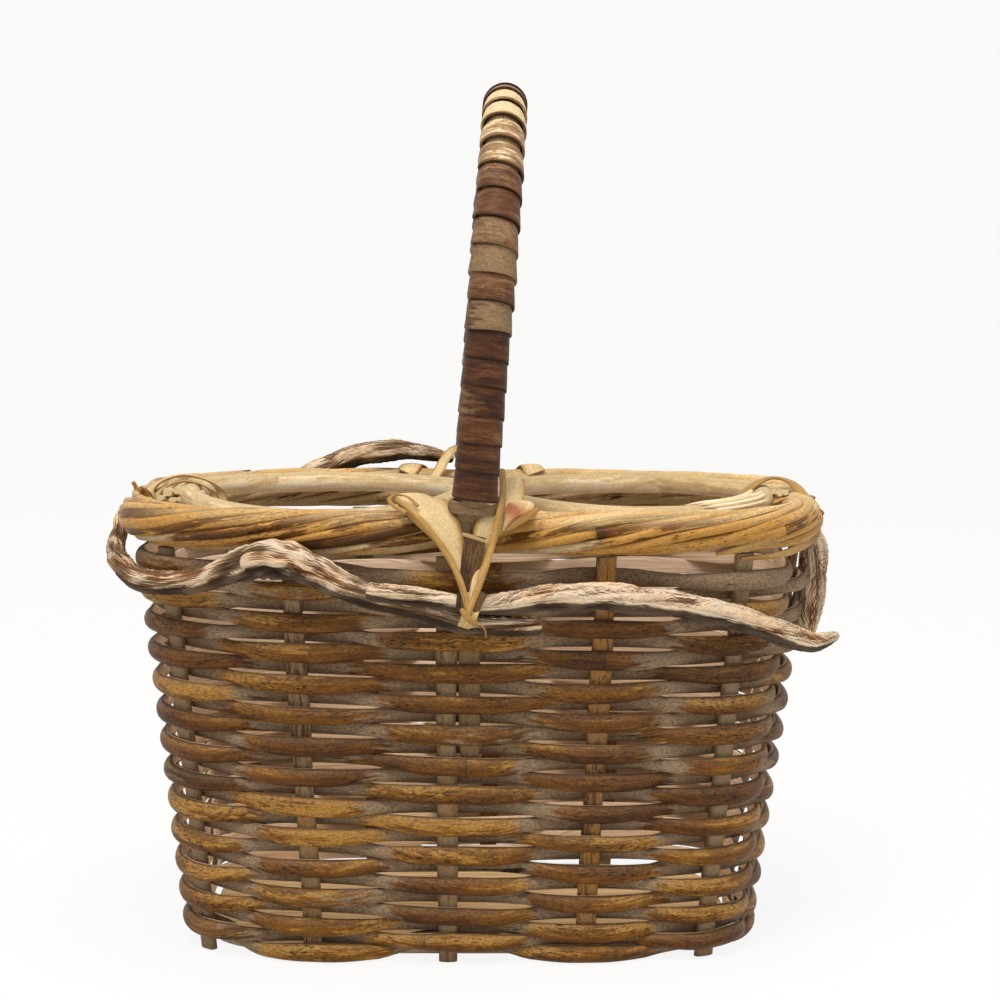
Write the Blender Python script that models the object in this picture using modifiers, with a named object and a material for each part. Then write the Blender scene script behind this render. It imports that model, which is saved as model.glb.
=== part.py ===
"""Wine bottle basket: a woven carrier for two bottles with a bound arch handle.

Metres, +Z up. The front faces -Y and the width runs along X. Z is zero on the flat
tips of the stakes, and the origin is in the middle of the foot.
"""
import math

import bmesh
import bpy
import numpy as np
from mathutils import Matrix, Vector

# Overall sizes
FOOT_WIDTH = 0.2150           # middle of the wall to middle of the wall, at the foot
FOOT_DEPTH = 0.1120
HANDLE_RISE = 0.1566          # from the border's middle to the crown of the core
HANDLE_LEAN = 0.0120          # how far the crown stands to the right of the feet
FOOT_POWER = 4.5              # of the outline at the foot: 2 gives an oval, more gives squarer corners
RIM_POWER = 3.2
ARCH_POWER = 2.5
SEAT = 0.0003                 # between pieces that touch
WELD_SHARE = 0.01             # of a seat: corners nearer than this are one
FACING_SHARE = 0.002          # of the way round, to both sides, to read where the wall faces

# Base board
BOARD_THICKNESS = 0.0030
BOARD_LIFT = 0.0006           # the stake tips stand this far below it
BOARD_TUCK = 0.0005           # how far its edge reaches in under the lowest row
BOARD_EDGE_ROUND = 0.0008
BOARD_STEPS = 60

# Stakes: split cane uprights
STAKE_COUNT = 12
STAKE_WIDTH = 0.0075
STAKE_THICKNESS = 0.0040
STAKE_SIDES = 10
STAKE_SHIFT = 0.0088          # the middle front stake stands this far left of the middle
STAKE_NUDGE_SHARES = {1: 0.05, 10: 0.06, 11: -0.02}    # off the even spacing, by eye

# Weavers: half-round cane
WEAVER_ROWS = 24              # not counting the two low ones that lie on the ground
WEAVER_LIFT = 0.00042         # the lowest row lies this far above the ground
WEAVER_PITCH = 0.00588
WEAVER_HEIGHT = 0.0068
WEAVER_THICKNESS = 0.0030
WEAVER_CREST = 0.0032         # height of the flat left on its round side
WEAVER_THIN_SHARE = 0.72      # of its section, where it dives between two stakes
WEAVER_FIT = 0.0006           # between it and a stake that it lies against
WEAVER_REST = 0.0008          # it runs straight this far past a stake's edge
WEAVER_STARTS = (4, 9)        # the stakes behind which the two weavers start
WEAVER_PHASES = (1, 0)        # each passes outside the stakes of this parity
SHORT_ROW_START_SHARE = 0.65  # of a turn: the second low row is shorter by this much

# Border: strands laid up like a rope
STRAND_COUNT = 4
STRAND_RADIUS = 0.0033
STRAND_SPREAD = 0.0053        # from the border's middle to a strand's middle
STRAND_TURNS = 3
STRAND_POINTS = 48
BORDER_DENT = 0.0062          # how far it is pressed in behind the handle
BORDER_DENT_FULL = 0.0125     # half the length that is pressed in fully
BORDER_DENT_END = 0.0300

# Hoops: the mouths that take the bottles
HOOP_BORE = 0.0980
HOOP_CANE = 0.0080
HOOP_GAP = 0.0050             # between the two hoops, in the middle
HOOP_END_ROOM = 0.0009        # between the right hoop and the border
HOOP_SHIFT = 0.0025
HOOP_RIDE = 0.0060            # its cane's middle above the border's middle
HOOP_STEPS = 40
HOOP_SIDES = 8

# Handle
CORE_RADIUS = 0.0066
CORE_SIDES = 8
CORE_STEPS = 40
FOOT_THICKNESS = 0.0048       # the pared foot, outside the border
FOOT_BREADTH = 0.0124
TONGUE_WIDTH = 0.0080         # the pared tongue, down in the weave
TONGUE_LENGTH = 0.0810        # below the border
FOOT_BEND_SHARE = 0.62        # of the border's radius: the pared foot bends over this height
FOOT_BEND_SHARES = (          # height in bends, how far out of its full way, width of its own
    (-1.0, 0.86, 0.7), (-1 / 3, 1.0, 0.9), (1.0, 1.0, 1.0),
)
TONGUE_POWER = 4.0            # how square its section is, as for the outlines
PARED_POWER = 3.0
BINDING_LOOPS = 17            # on each half of the handle
BINDING_POINTS = 10           # in one loop
BINDING_WIDTH = 0.0094
BINDING_THICKNESS = 0.0010
BINDING_SPLICE = 0.0012       # between the two strips at the crown

# Vines: gnarled branches tied on outside
VINE_RADIUS = 0.0046
VINE_KNOBS = 0.0005           # how far the bark swells and shrinks
VINE_KNOB_TURN = 2.4          # radians from point to point, so that the knobs look uneven

# Lashings: peeled cane
STRAP_THICKNESS = 0.0009
STRAP_WIDTH = 0.0085
STRAP_TIP_WIDTH = 0.0042
STRAP_REACH = 0.0255          # from the handle's middle to a strap's upper end
STRAP_STEPS = 10
TIE_WIDTH = 0.0070
TIE_STEPS = 20
STRAP_TIP_GAP = 0.0006        # between the tips of the two straps
STRAP_TIP_ANGLE = 50.0        # degrees round the vine, from level
STRAP_HOOK_ANGLE = 135.0      # degrees round the border, from its outer side
TAIL_LENGTH = 0.0150
TAIL_LEAN = -0.0015
TAIL_WIDTH = 0.0062
END_LASHING_WIDTH = 0.0052

# Sizes that follow from the ones above
BOARD_TOP = BOARD_LIFT + BOARD_THICKNESS
LOW_ROW = WEAVER_LIFT + WEAVER_HEIGHT / 2
FIRST_ROW = LOW_ROW + WEAVER_PITCH
SECOND_LAG_SHARE = (WEAVER_STARTS[0] - WEAVER_STARTS[1]) % STAKE_COUNT / STAKE_COUNT
ROWS_CLIMBED = WEAVER_ROWS + 2 * SECOND_LAG_SHARE - 1
LAST_ROW_TOP = FIRST_ROW + WEAVER_PITCH * ROWS_CLIMBED + WEAVER_HEIGHT / 2
BORDER_RADIUS = STRAND_SPREAD + STRAND_RADIUS
LASHING_ROOM = STRAP_THICKNESS + 2 * SEAT
BORDER_HEIGHT = LAST_ROW_TOP + LASHING_ROOM + BORDER_RADIUS
HOOP_RADIUS = (HOOP_BORE + HOOP_CANE) / 2
HOOP_SPACING = HOOP_BORE + 2 * HOOP_CANE + HOOP_GAP
HOOP_ENDS = HOOP_SPACING / 2 + HOOP_SHIFT + HOOP_RADIUS + HOOP_CANE / 2
RIM_WIDTH = 2 * (HOOP_ENDS + HOOP_END_ROOM + BORDER_RADIUS)
HOOP_HEIGHT = BORDER_HEIGHT + HOOP_RIDE
CRADLE = BORDER_RADIUS + HOOP_CANE / 2 + SEAT
HOOP_CLEAR = HOOP_RADIUS + math.sqrt(CRADLE ** 2 - HOOP_RIDE ** 2)


def least_rim_depth():
    """The depth at which the border's middle line just clears both hoops."""
    least = 0.0
    for step in range(1, 90):
        turn = math.radians(step)
        x = HOOP_SPACING / 2 + abs(HOOP_SHIFT) + HOOP_CLEAR * math.cos(turn)
        rest = 1 - (2 * x / RIM_WIDTH) ** RIM_POWER
        if rest > 0:
            least = max(least, HOOP_CLEAR * math.sin(turn) / rest ** (1 / RIM_POWER))
    return 2 * least


RIM_DEPTH = least_rim_depth()
WAVE = STAKE_THICKNESS / 2 + WEAVER_FIT + WEAVER_THICKNESS / 2
WALL_HALF = WAVE + WEAVER_THICKNESS / 2
BOARD_INSET = WALL_HALF - BOARD_TUCK  # from the middle of the wall in to the board's edge
STRAP_AROUND = BORDER_RADIUS + 2 * SEAT + STRAP_THICKNESS / 2
FOOT_OUT = BORDER_RADIUS - BORDER_DENT + SEAT + FOOT_THICKNESS / 2
LEG_SPREAD = RIM_DEPTH / 2 + FOOT_OUT
CORE_FLAT = math.cos(math.pi / BINDING_POINTS)
BINDING_INNER = (CORE_RADIUS + SEAT) / CORE_FLAT

# Routes of the vines, as shares: way round the outline from the front middle, height of the
# border, radius, and how far it stands off in its own widths
LEFT_VINE_SHARES = (
    (0.038, 0.803, 0.63, 0.0), (0.027, 0.804, 0.78, 0.0), (0.016, 0.806, 0.84, 0.0),
    (-0.005, 0.815, 0.84, 0.0), (-0.028, 0.842, 0.86, 0.0), (-0.049, 0.864, 0.94, 0.0),
    (-0.067, 0.888, 1.02, 0.0), (-0.082, 0.921, 1.17, 0.0), (-0.094, 0.945, 1.33, 0.0),
    (-0.107, 0.953, 1.33, 0.0), (-0.120, 0.932, 1.18, 0.0), (-0.137, 0.903, 0.98, 0.0),
    (-0.154, 0.884, 0.95, 0.0), (-0.175, 0.880, 0.90, 0.0), (-0.200, 0.905, 0.85, 0.0),
    (-0.225, 0.945, 0.72, 0.0), (-0.250, 0.985, 0.58, 0.0), (-0.278, 1.000, 0.60, 0.0),
    (-0.312, 0.985, 0.75, 0.0), (-0.350, 0.985, 0.80, 0.0), (-0.385, 1.012, 0.80, 0.0),
    (-0.408, 1.060, 0.78, 0.0), (-0.428, 1.100, 0.80, 0.0), (-0.450, 1.115, 0.82, 0.0),
    (-0.466, 1.110, 0.72, 0.0), (-0.479, 1.092, 0.58, 0.0),
)
RIGHT_VINE_SHARES = (
    (-0.055, 0.890, 0.66, 0.88), (-0.038, 0.881, 0.70, 0.86), (-0.017, 0.870, 0.70, 0.84),
    (-0.002, 0.858, 0.70, 0.80), (0.015, 0.856, 0.82, 0.36), (0.037, 0.868, 0.94, 0.02),
    (0.058, 0.870, 1.02, 0.0), (0.079, 0.867, 1.02, 0.0), (0.100, 0.857, 0.98, 0.0),
    (0.122, 0.838, 0.99, 0.0), (0.141, 0.814, 0.95, 0.0), (0.158, 0.787, 0.96, 0.0),
    (0.172, 0.761, 0.93, 0.25), (0.182, 0.743, 0.77, 0.75), (0.200, 0.742, 0.42, 1.2),
)
BACK_VINE_SHARES = (
    (0.251, 0.690, 0.60, 0.25), (0.254, 0.760, 0.90, 0.35), (0.258, 0.820, 1.00, 0.40),
    (0.265, 0.880, 1.00, 0.30), (0.278, 0.915, 0.98, 0.10), (0.300, 0.905, 1.00, 0.0),
    (0.340, 0.860, 1.10, 0.35), (0.390, 0.810, 1.00, 0.75), (0.440, 0.850, 0.95, 0.40),
    (0.480, 0.845, 0.85, 0.0), (0.515, 0.835, 0.65, 0.0),
)
VINES = {
    "vine_left": (LEFT_VINE_SHARES, 64),
    "vine_right": (RIGHT_VINE_SHARES, 36),
    "vine_back": (BACK_VINE_SHARES, 32),
}
FRONT_TIE_SHARE = -0.0045     # where the front tie holds the vines, round the outline
BACK_TIE_SHARE = 0.4955


# Materials

def linear(hex_colour):
    """Turn an sRGB colour such as "C8A070" into linear red, green, blue."""
    parts = [int(hex_colour[i:i + 2], 16) / 255 for i in (0, 2, 4)]
    return [c / 12.92 if c <= 0.04045 else ((c + 0.055) / 1.055) ** 2.4 for c in parts]


def material(name, hex_colour, roughness):
    made = bpy.data.materials.get(name)
    if made:
        return made
    made = bpy.data.materials.new(name)
    made.use_nodes = True
    shader = made.node_tree.nodes["Principled BSDF"]
    shader.inputs["Base Color"].default_value = (*linear(hex_colour), 1.0)
    shader.inputs["Roughness"].default_value = roughness
    shader.inputs["Metallic"].default_value = 0.0
    return made


# Objects

def start():
    for old in list(bpy.data.objects):
        bpy.data.objects.remove(old, do_unlink=True)
    pieces = bpy.data.collections.new("wine_bottle_basket")
    guides = bpy.data.collections.new("cutters_and_guides")
    for group in (pieces, guides):
        bpy.context.scene.collection.children.link(group)
    return pieces, guides


def add(group, name, data, made_of=None, at=(0, 0, 0)):
    piece = bpy.data.objects.new(name, data)
    piece.location = at
    group.objects.link(piece)
    if made_of:
        data.materials.append(made_of)
    return piece


def as_guide(piece):
    piece.hide_render = True
    piece.display_type = "WIRE"
    return piece


def smooth(mesh, angle=40.0):
    mesh.shade_smooth()
    mesh.set_sharp_from_angle(angle=math.radians(angle))


def set_down(points):
    """Split points into a place, the first point, and the points seen from it."""
    first = Vector(points[0])
    return first, [Vector(p) - first for p in points]


def poly_curve(name, points, radii=None, closed=False):
    """A curve through the points, placed at the first one."""
    place, near = set_down(points)
    data = bpy.data.curves.new(name, "CURVE")
    data.dimensions = "3D"
    data.twist_mode = "Z_UP"
    data.use_fill_caps = True
    spline = data.splines.new("POLY")
    spline.points.add(len(near) - 1)
    for i, p in enumerate(near):
        spline.points[i].co = (*p, 1.0)
        spline.points[i].radius = radii[i] if radii else 1.0
    spline.use_cyclic_u = closed
    spline.use_smooth = True
    return data, place


# The outline of the wall

def outline(width, depth, square, offset=0.0, steps=1440):
    """Points of the plan outline, anticlockwise from the middle of the front."""
    turn = np.linspace(0.0, 2.0 * math.pi, steps, endpoint=False) - math.pi / 2
    c, s = np.cos(turn), np.sin(turn)
    power = 2.0 / square
    x = (width / 2 + offset) * np.sign(c) * np.abs(c) ** power
    y = (depth / 2 + offset) * np.sign(s) * np.abs(s) ** power
    return np.stack([x, y], axis=1)


class Loop:
    """A closed outline that is read by the share of its length."""

    def __init__(self, points):
        closed = np.vstack([points, points[:1]])
        steps = np.linalg.norm(np.diff(closed, axis=0), axis=1)
        self.at = np.concatenate([[0.0], np.cumsum(steps)])
        self.length = self.at[-1]
        self.points = closed

    def point(self, share):
        way = (share % 1.0) * self.length
        return np.array([np.interp(way, self.at, self.points[:, i]) for i in (0, 1)])

    def outward(self, share):
        ahead = self.point(share + FACING_SHARE) - self.point(share - FACING_SHARE)
        ahead /= np.linalg.norm(ahead)
        return np.array([ahead[1], -ahead[0]])


FOOT_LOOP = Loop(outline(FOOT_WIDTH, FOOT_DEPTH, FOOT_POWER))
RIM_LOOP = Loop(outline(RIM_WIDTH, RIM_DEPTH, RIM_POWER))
SHIFT_SHARE = STAKE_SHIFT / ((FOOT_LOOP.length + RIM_LOOP.length) / 2)


def stake_share(number):
    nudge = STAKE_NUDGE_SHARES.get(number % STAKE_COUNT, 0.0)
    return (number + nudge) / STAKE_COUNT - SHIFT_SHARE


def on_wall(share, height, out=0.0):
    """A point of the leaning wall, at a share of its way round, moved outward."""
    up = height / BORDER_HEIGHT
    spot = FOOT_LOOP.point(share) * (1 - up) + RIM_LOOP.point(share) * up
    spot = spot + RIM_LOOP.outward(share) * out
    return Vector((spot[0], spot[1], height))


def way_share(length, height):
    """The share of the way round that a length makes at a height."""
    up = height / BORDER_HEIGHT
    return length / (FOOT_LOOP.length * (1 - up) + RIM_LOOP.length * up)


# Base board and stakes

def make_stake_mesh(number, to_z):
    """A leaning upright of oval section with level ends, seen from its foot."""
    share = stake_share(number)
    foot = on_wall(share, 0.0)
    side = Vector((*RIM_LOOP.outward(share), 0.0))
    along = Vector((side.y, -side.x, 0.0))
    made = bmesh.new()
    bmesh.ops.create_cone(made, cap_ends=True, segments=STAKE_SIDES, radius1=1.0, radius2=1.0,
                          depth=1.0)
    for v in made.verts:
        middle = on_wall(share, to_z if v.co.z > 0 else 0.0)
        wide = along * (v.co.x * STAKE_WIDTH / 2)
        deep = side * (v.co.y * STAKE_THICKNESS / 2)
        v.co = middle - foot + wide + deep
    bmesh.ops.recalc_face_normals(made, faces=made.faces)
    mesh = bpy.data.meshes.new(f"stake_{number:02d}")
    made.to_mesh(mesh)
    made.free()
    return mesh, foot


def make_stakes(group):
    cane = material("grey-brown split cane", "8C745A", 0.75)
    top = BORDER_HEIGHT - BORDER_RADIUS - SEAT
    for number in range(STAKE_COUNT):
        mesh, foot = make_stake_mesh(number, top)
        smooth(mesh)
        add(group, f"stake_{number + 1:02d}", mesh, cane, foot)


def make_board(group, guides):
    """A plate just inside the stakes, under the inner crests of the lowest row."""
    up = (BOARD_LIFT + BOARD_THICKNESS / 2) / BORDER_HEIGHT
    width = FOOT_WIDTH * (1 - up) + RIM_WIDTH * up
    depth = FOOT_DEPTH * (1 - up) + RIM_DEPTH * up
    data = bpy.data.curves.new("base_board", "CURVE")
    data.dimensions = "2D"
    data.fill_mode = "BOTH"
    data.extrude = BOARD_THICKNESS / 2 - BOARD_EDGE_ROUND
    data.bevel_depth = BOARD_EDGE_ROUND
    data.bevel_resolution = 0
    edge = outline(width, depth, FOOT_POWER, -BOARD_INSET - BOARD_EDGE_ROUND, BOARD_STEPS)
    spline = data.splines.new("POLY")
    spline.points.add(len(edge) - 1)
    for point, (x, y) in zip(spline.points, edge):
        point.co = (x, y, 0.0, 1.0)
    spline.use_cyclic_u = True
    rough = add(guides, "board_blank", data, None, (0, 0, BOARD_LIFT + BOARD_THICKNESS / 2))
    add(group, "base_board", mesh_of(rough), material("pale ply", "D9BE93", 0.7), rough.location)
    bpy.data.objects.remove(rough)


def mesh_of(piece):
    """The evaluated mesh of a curve object, with its loose caps welded on."""
    bpy.context.view_layer.update()
    seen = bpy.context.evaluated_depsgraph_get()
    mesh = bpy.data.meshes.new_from_object(piece.evaluated_get(seen))
    made = bmesh.new()
    made.from_mesh(mesh)
    bmesh.ops.remove_doubles(made, verts=made.verts, dist=SEAT * WELD_SHARE)
    made.to_mesh(mesh)
    made.free()
    return mesh


# Woven wall

def weaver_profile(guides):
    """Half-round cane: flat towards the inside of the basket, round outside."""
    data = bpy.data.curves.new("weaver_profile", "CURVE")
    data.dimensions = "2D"
    spline = data.splines.new("POLY")
    half, crest, deep = WEAVER_HEIGHT / 2, WEAVER_CREST / 2, WEAVER_THICKNESS / 2
    corners = [(-deep, half), (deep, crest), (deep, -crest), (-deep, -half)]
    spline.points.add(len(corners) - 1)
    for point, (x, y) in zip(spline.points, corners):
        point.co = (x, y, 0.0, 1.0)
    spline.use_cyclic_u = True
    return as_guide(add(guides, "weaver_profile", data))


def weaver_stops():
    """Where a weaver bends on its way round: share of the way, place in its wave, thickness.

    It lies flat against each stake, and against the handle's tongue beside the two middle
    stakes, and dives half-way between them. A wave of 1 is on the side of the even stakes.
    """
    mean_height = (FIRST_ROW + BORDER_HEIGHT) / 2
    rest = way_share(STAKE_WIDTH / 2 + WEAVER_REST, mean_height)
    beside = way_share(SEAT + TONGUE_WIDTH, mean_height)
    stops = []
    for number in range(STAKE_COUNT):
        here, side = stake_share(number), 1 - 2 * (number % 2)
        stops.append((here - rest, side, 1.0))
        leave = here + rest + (beside if number % (STAKE_COUNT // 2) == 0 else 0.0)
        stops.append((leave, side, 1.0))
        arrive = stake_share(number + 1) - rest
        stops.append(((leave + arrive) / 2, 0, WEAVER_THIN_SHARE))
    return stops


def helix_height(which, turn, back):
    """Height of a weaver's middle, some share of the way back round from its start."""
    lag = which * SECOND_LAG_SHARE
    return FIRST_ROW + 2 * WEAVER_PITCH * (turn + lag + back) - which * WEAVER_PITCH


def low_height(which, back, wave):
    """The two rows on the ground sag outside the stakes and climb onto the board inside them."""
    thin = WEAVER_LIFT + WEAVER_HEIGHT * WEAVER_THIN_SHARE / 2
    if which:
        ahead = (back + SECOND_LAG_SHARE) % 1.0
        return (max(thin, helix_height(0, -1, ahead)) + helix_height(0, 0, ahead)) / 2
    on_board = min(BOARD_TOP + SEAT + WEAVER_HEIGHT / 2, helix_height(0, 0, back) - WEAVER_HEIGHT - SEAT)
    rest = {0: thin, 1: LOW_ROW, -1: max(LOW_ROW, on_board)}[wave]
    return max(rest, helix_height(0, -1, back))


def make_turn(which, turn, stops, profile, group, cane):
    """One length of cane: it goes once round and its ends hide behind a stake."""
    start = stake_share(WEAVER_STARTS[which])
    flip = 1 if WEAVER_PHASES[which] == 0 else -1
    gap = way_share(SEAT, FIRST_ROW) / 2
    picked = sorted(((start - share) % 1.0, side, thick) for share, side, thick in stops)
    picked = [(gap, -flip, 1.0)] + picked + [(1.0 - gap, -flip, 1.0)]
    if which and turn < 0:
        picked = [stop for stop in picked if stop[0] > SHORT_ROW_START_SHARE]
    points, radii = [], []
    for back, side, thick in picked:
        wave = side * flip
        height = low_height(which, back, wave) if turn < 0 else helix_height(which, turn, back)
        if turn == 0 and wave and not which:
            height = max(height, LOW_ROW + WEAVER_HEIGHT + SEAT)
        points.append(on_wall(start - back, height, wave * WAVE))
        radii.append(thick)
    name = f"weaver_{'ab'[which]}_{turn + 1:02d}"
    data, place = poly_curve(name, points, radii)
    data.bevel_mode = "OBJECT"
    data.bevel_object = profile
    add(group, name, data, cane, place)


def make_weave(group, guides):
    cane = material("golden brown half-round cane", "9A6A33", 0.55)
    profile = weaver_profile(guides)
    stops = weaver_stops()
    for which in (0, 1):
        for turn in range(-1, WEAVER_ROWS // 2):
            make_turn(which, turn, stops, profile, group, cane)


# Border and hoops

def ease(value):
    value = min(max(value, 0.0), 1.0)
    return value * value * (3 - 2 * value)


def dent(x):
    """How far the border is pressed in behind the handle's feet."""
    return BORDER_DENT * ease((BORDER_DENT_END - abs(x)) / (BORDER_DENT_END - BORDER_DENT_FULL))


def border_middle(share):
    spot, out = RIM_LOOP.point(share), RIM_LOOP.outward(share)
    spot = spot - out * dent(spot[0])
    return Vector((spot[0], spot[1], BORDER_HEIGHT)), Vector((out[0], out[1], 0.0))


def make_border(group):
    cane = material("orange-brown split rattan", "B98A4A", 0.5)
    up = Vector((0, 0, 1))
    for strand in range(STRAND_COUNT):
        points = []
        for step in range(STRAND_POINTS):
            share = step / STRAND_POINTS
            middle, out = border_middle(share)
            lay = 2 * math.pi * (STRAND_TURNS * share + strand / STRAND_COUNT)
            points.append(middle + (out * math.cos(lay) + up * math.sin(lay)) * STRAND_SPREAD)
        name = f"border_strand_{strand + 1}"
        data, place = poly_curve(name, points, closed=True)
        data.bevel_depth = STRAND_RADIUS
        data.bevel_resolution = 1
        add(group, name, data, cane, place)


def make_hoops(group):
    cane = material("cream round cane", "DCC79A", 0.5)
    for name, side in (("hoop_left", -1), ("hoop_right", 1)):
        at = (HOOP_SHIFT + side * HOOP_SPACING / 2, 0, HOOP_HEIGHT)
        bpy.ops.mesh.primitive_torus_add(major_radius=HOOP_RADIUS, minor_radius=HOOP_CANE / 2,
                                         major_segments=HOOP_STEPS, minor_segments=HOOP_SIDES,
                                         location=at)
        hoop = bpy.context.object
        hoop.name = hoop.data.name = name
        for old in list(hoop.users_collection):
            old.objects.unlink(hoop)
        group.objects.link(hoop)
        hoop.data.materials.append(cane)
        smooth(hoop.data)


# Handle

def handle_x(z):
    return HANDLE_LEAN * (z - BORDER_HEIGHT) / HANDLE_RISE


class Arch:
    """The middle line of the round part, read by its length from the front foot."""

    def __init__(self):
        turn = np.linspace(0.0, math.pi, 721)
        c, s = np.cos(turn), np.sin(turn)
        power = 2.0 / ARCH_POWER
        y = -LEG_SPREAD * np.sign(c) * np.abs(c) ** power
        z = BORDER_HEIGHT + HANDLE_RISE * np.abs(s) ** power
        x = np.array([handle_x(v) for v in z])
        self.points = np.stack([x, y, z], axis=1)
        steps = np.linalg.norm(np.diff(self.points, axis=0), axis=1)
        self.at = np.concatenate([[0.0], np.cumsum(steps)])
        self.length = self.at[-1]

    def point(self, way):
        return Vector([np.interp(way, self.at, self.points[:, i]) for i in range(3)])

    def frame(self, way):
        """Along, outward in the arch's plane, and across it."""
        reach = self.length / 400
        along = (self.point(way + reach) - self.point(way - reach)).normalized()
        across = Vector((HANDLE_RISE, 0.0, -HANDLE_LEAN)).normalized()
        return along, along.cross(across).normalized(), across


def oval(middle, one, two, half_one, half_two, square=2.0):
    """Points of an oval section; a higher square gives flatter sides."""
    ring = []
    for side in range(CORE_SIDES):
        turn = 2 * math.pi * (side + 0.5) / CORE_SIDES
        c, s = math.cos(turn), math.sin(turn)
        a = math.copysign(abs(c) ** (2 / square), c)
        b = math.copysign(abs(s) ** (2 / square), s)
        ring.append(middle + one * (a * half_one) + two * (b * half_two))
    return ring


def loft(name, rings):
    """A closed solid through rings of equally many points, seen from the first ring."""
    place = Vector(rings[0][0])
    made = bmesh.new()
    rows = [[made.verts.new(Vector(p) - place) for p in ring] for ring in rings]
    for low, high in zip(rows, rows[1:]):
        for i in range(len(low)):
            j = (i + 1) % len(low)
            made.faces.new((low[i], low[j], high[j], high[i]))
    made.faces.new(rows[0][::-1])
    made.faces.new(rows[-1])
    bmesh.ops.recalc_face_normals(made, faces=made.faces)
    mesh = bpy.data.meshes.new(name)
    made.to_mesh(mesh)
    made.free()
    return mesh, place


def foot_rings(side):
    """From the tongue's tip in the weave, past the border's outside, to the round leg."""
    beside = STAKE_WIDTH / 2 + 2 * SEAT + TONGUE_WIDTH / 2
    stake = stake_share(0 if side < 0 else STAKE_COUNT // 2)
    across, out = Vector((1, 0, 0)), Vector((0, side, 0))
    under = BORDER_HEIGHT - BORDER_RADIUS
    low = under - TONGUE_LENGTH
    half = STAKE_THICKNESS / 2
    tongue = [(low, TONGUE_WIDTH / 4, half / 2), (low + TONGUE_WIDTH, TONGUE_WIDTH / 2, half),
              (under - LASHING_ROOM - SEAT, TONGUE_WIDTH / 2, half)]
    rings = []
    for height, wide, thick in tongue:
        share = stake + way_share(beside, height)
        rings.append(oval(on_wall(share, height), across, out, wide, thick, TONGUE_POWER))
    bend = BORDER_RADIUS * FOOT_BEND_SHARE
    for bends, reach_share, wide_share in FOOT_BEND_SHARES:
        height = BORDER_HEIGHT + bend * bends
        wall = on_wall(stake, height)
        middle = Vector((handle_x(height), wall.y + side * FOOT_OUT * reach_share, height))
        rings.append(oval(middle, across, out, FOOT_BREADTH / 2 * wide_share, FOOT_THICKNESS / 2,
                          PARED_POWER))
    return rings


def binding_start(arch):
    """How far along the arch the winding's middle starts: just above the border."""
    top = BORDER_HEIGHT + BORDER_RADIUS + SEAT
    rising = len(arch.at) // 2
    return np.interp(top, arch.points[:rising, 2], arch.at[:rising]) + BINDING_WIDTH / 2


def make_core(group, arch):
    wood = material("handle cane core", "7A6248", 0.7)
    rings = foot_rings(-1)
    first = binding_start(arch) - BINDING_WIDTH / 2 + CORE_RADIUS / 2
    for step in range(CORE_STEPS + 1):
        way = first + (arch.length - 2 * first) * step / CORE_STEPS
        _, out, across = arch.frame(way)
        rings.append(oval(arch.point(way), across, -out, CORE_RADIUS, CORE_RADIUS))
    rings += foot_rings(1)[::-1]
    mesh, place = loft("handle_core", rings)
    smooth(mesh)
    add(group, "handle_core", mesh, wood, place)


def binding_edges(arch, steps):
    """The two edges of the flat strip at some steps of the winding, as pairs of points."""
    start = binding_start(arch)
    radius = BINDING_INNER + BINDING_THICKNESS / 2
    pairs = []
    for step in steps:
        way = start + (arch.length - 2 * start) * step / (2 * BINDING_LOOPS * BINDING_POINTS)
        turn = 2 * math.pi * step / BINDING_POINTS
        pair = []
        for side in (-1, 1):
            spot = way + side * BINDING_WIDTH / 2
            _, out, across = arch.frame(spot)
            ray = out * math.cos(turn) + across * math.sin(turn)
            pair.append(arch.point(spot) + ray * radius)
        pairs.append(pair)
    return pairs


def least_gap(pairs):
    """The least distance between neighbouring loops of a winding, edge to edge."""
    gaps = []
    for step in range(len(pairs) - BINDING_POINTS):
        near, far = pairs[step], pairs[step + BINDING_POINTS]
        along = (far[0] - near[0]).normalized()
        gaps.append(min((b - a).dot(along) for a in near for b in far))
    return min(gaps)


def ribbon(name, pairs, thickness, closed=False):
    """A flat strip between two edges, thickened both ways, seen from its first point."""
    place = Vector(pairs[0][0])
    made = bmesh.new()
    rows = [[made.verts.new(Vector(p) - place) for p in pair] for pair in pairs]
    if closed:
        rows.append(rows[0])
    for low, high in zip(rows, rows[1:]):
        made.faces.new((low[0], low[1], high[1], high[0]))
    mesh = bpy.data.meshes.new(name)
    made.to_mesh(mesh)
    made.free()
    return mesh, place


def add_ribbon(group, name, pairs, thickness, made_of, closed=False):
    mesh, place = ribbon(name, pairs, thickness, closed)
    smooth(mesh)
    strip = add(group, name, mesh, made_of, place)
    thick = strip.modifiers.new("thickness", "SOLIDIFY")
    thick.thickness = thickness
    thick.offset = 0.0
    return strip


def make_bindings(group, arch):
    """Two strips wound as one, spliced end to end at the crown."""
    cane = material("dark red-brown cane strip", "5C3420", 0.5)
    half = BINDING_LOOPS * BINDING_POINTS
    cut = BINDING_SPLICE / 2 / (2 * BINDING_INNER * math.sin(math.pi / BINDING_POINTS))
    front = [*range(half), half - cut]
    back = [half + cut, *range(half + 1, 2 * half + 1)]
    for name, steps in (("handle_binding_front", front), ("handle_binding_back", back)):
        pairs = binding_edges(arch, steps)
        add_ribbon(group, name, pairs, BINDING_THICKNESS, cane)
        print(f"{name}: least gap to itself {least_gap(pairs) * 1000:.2f} mm")


# Vines

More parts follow.
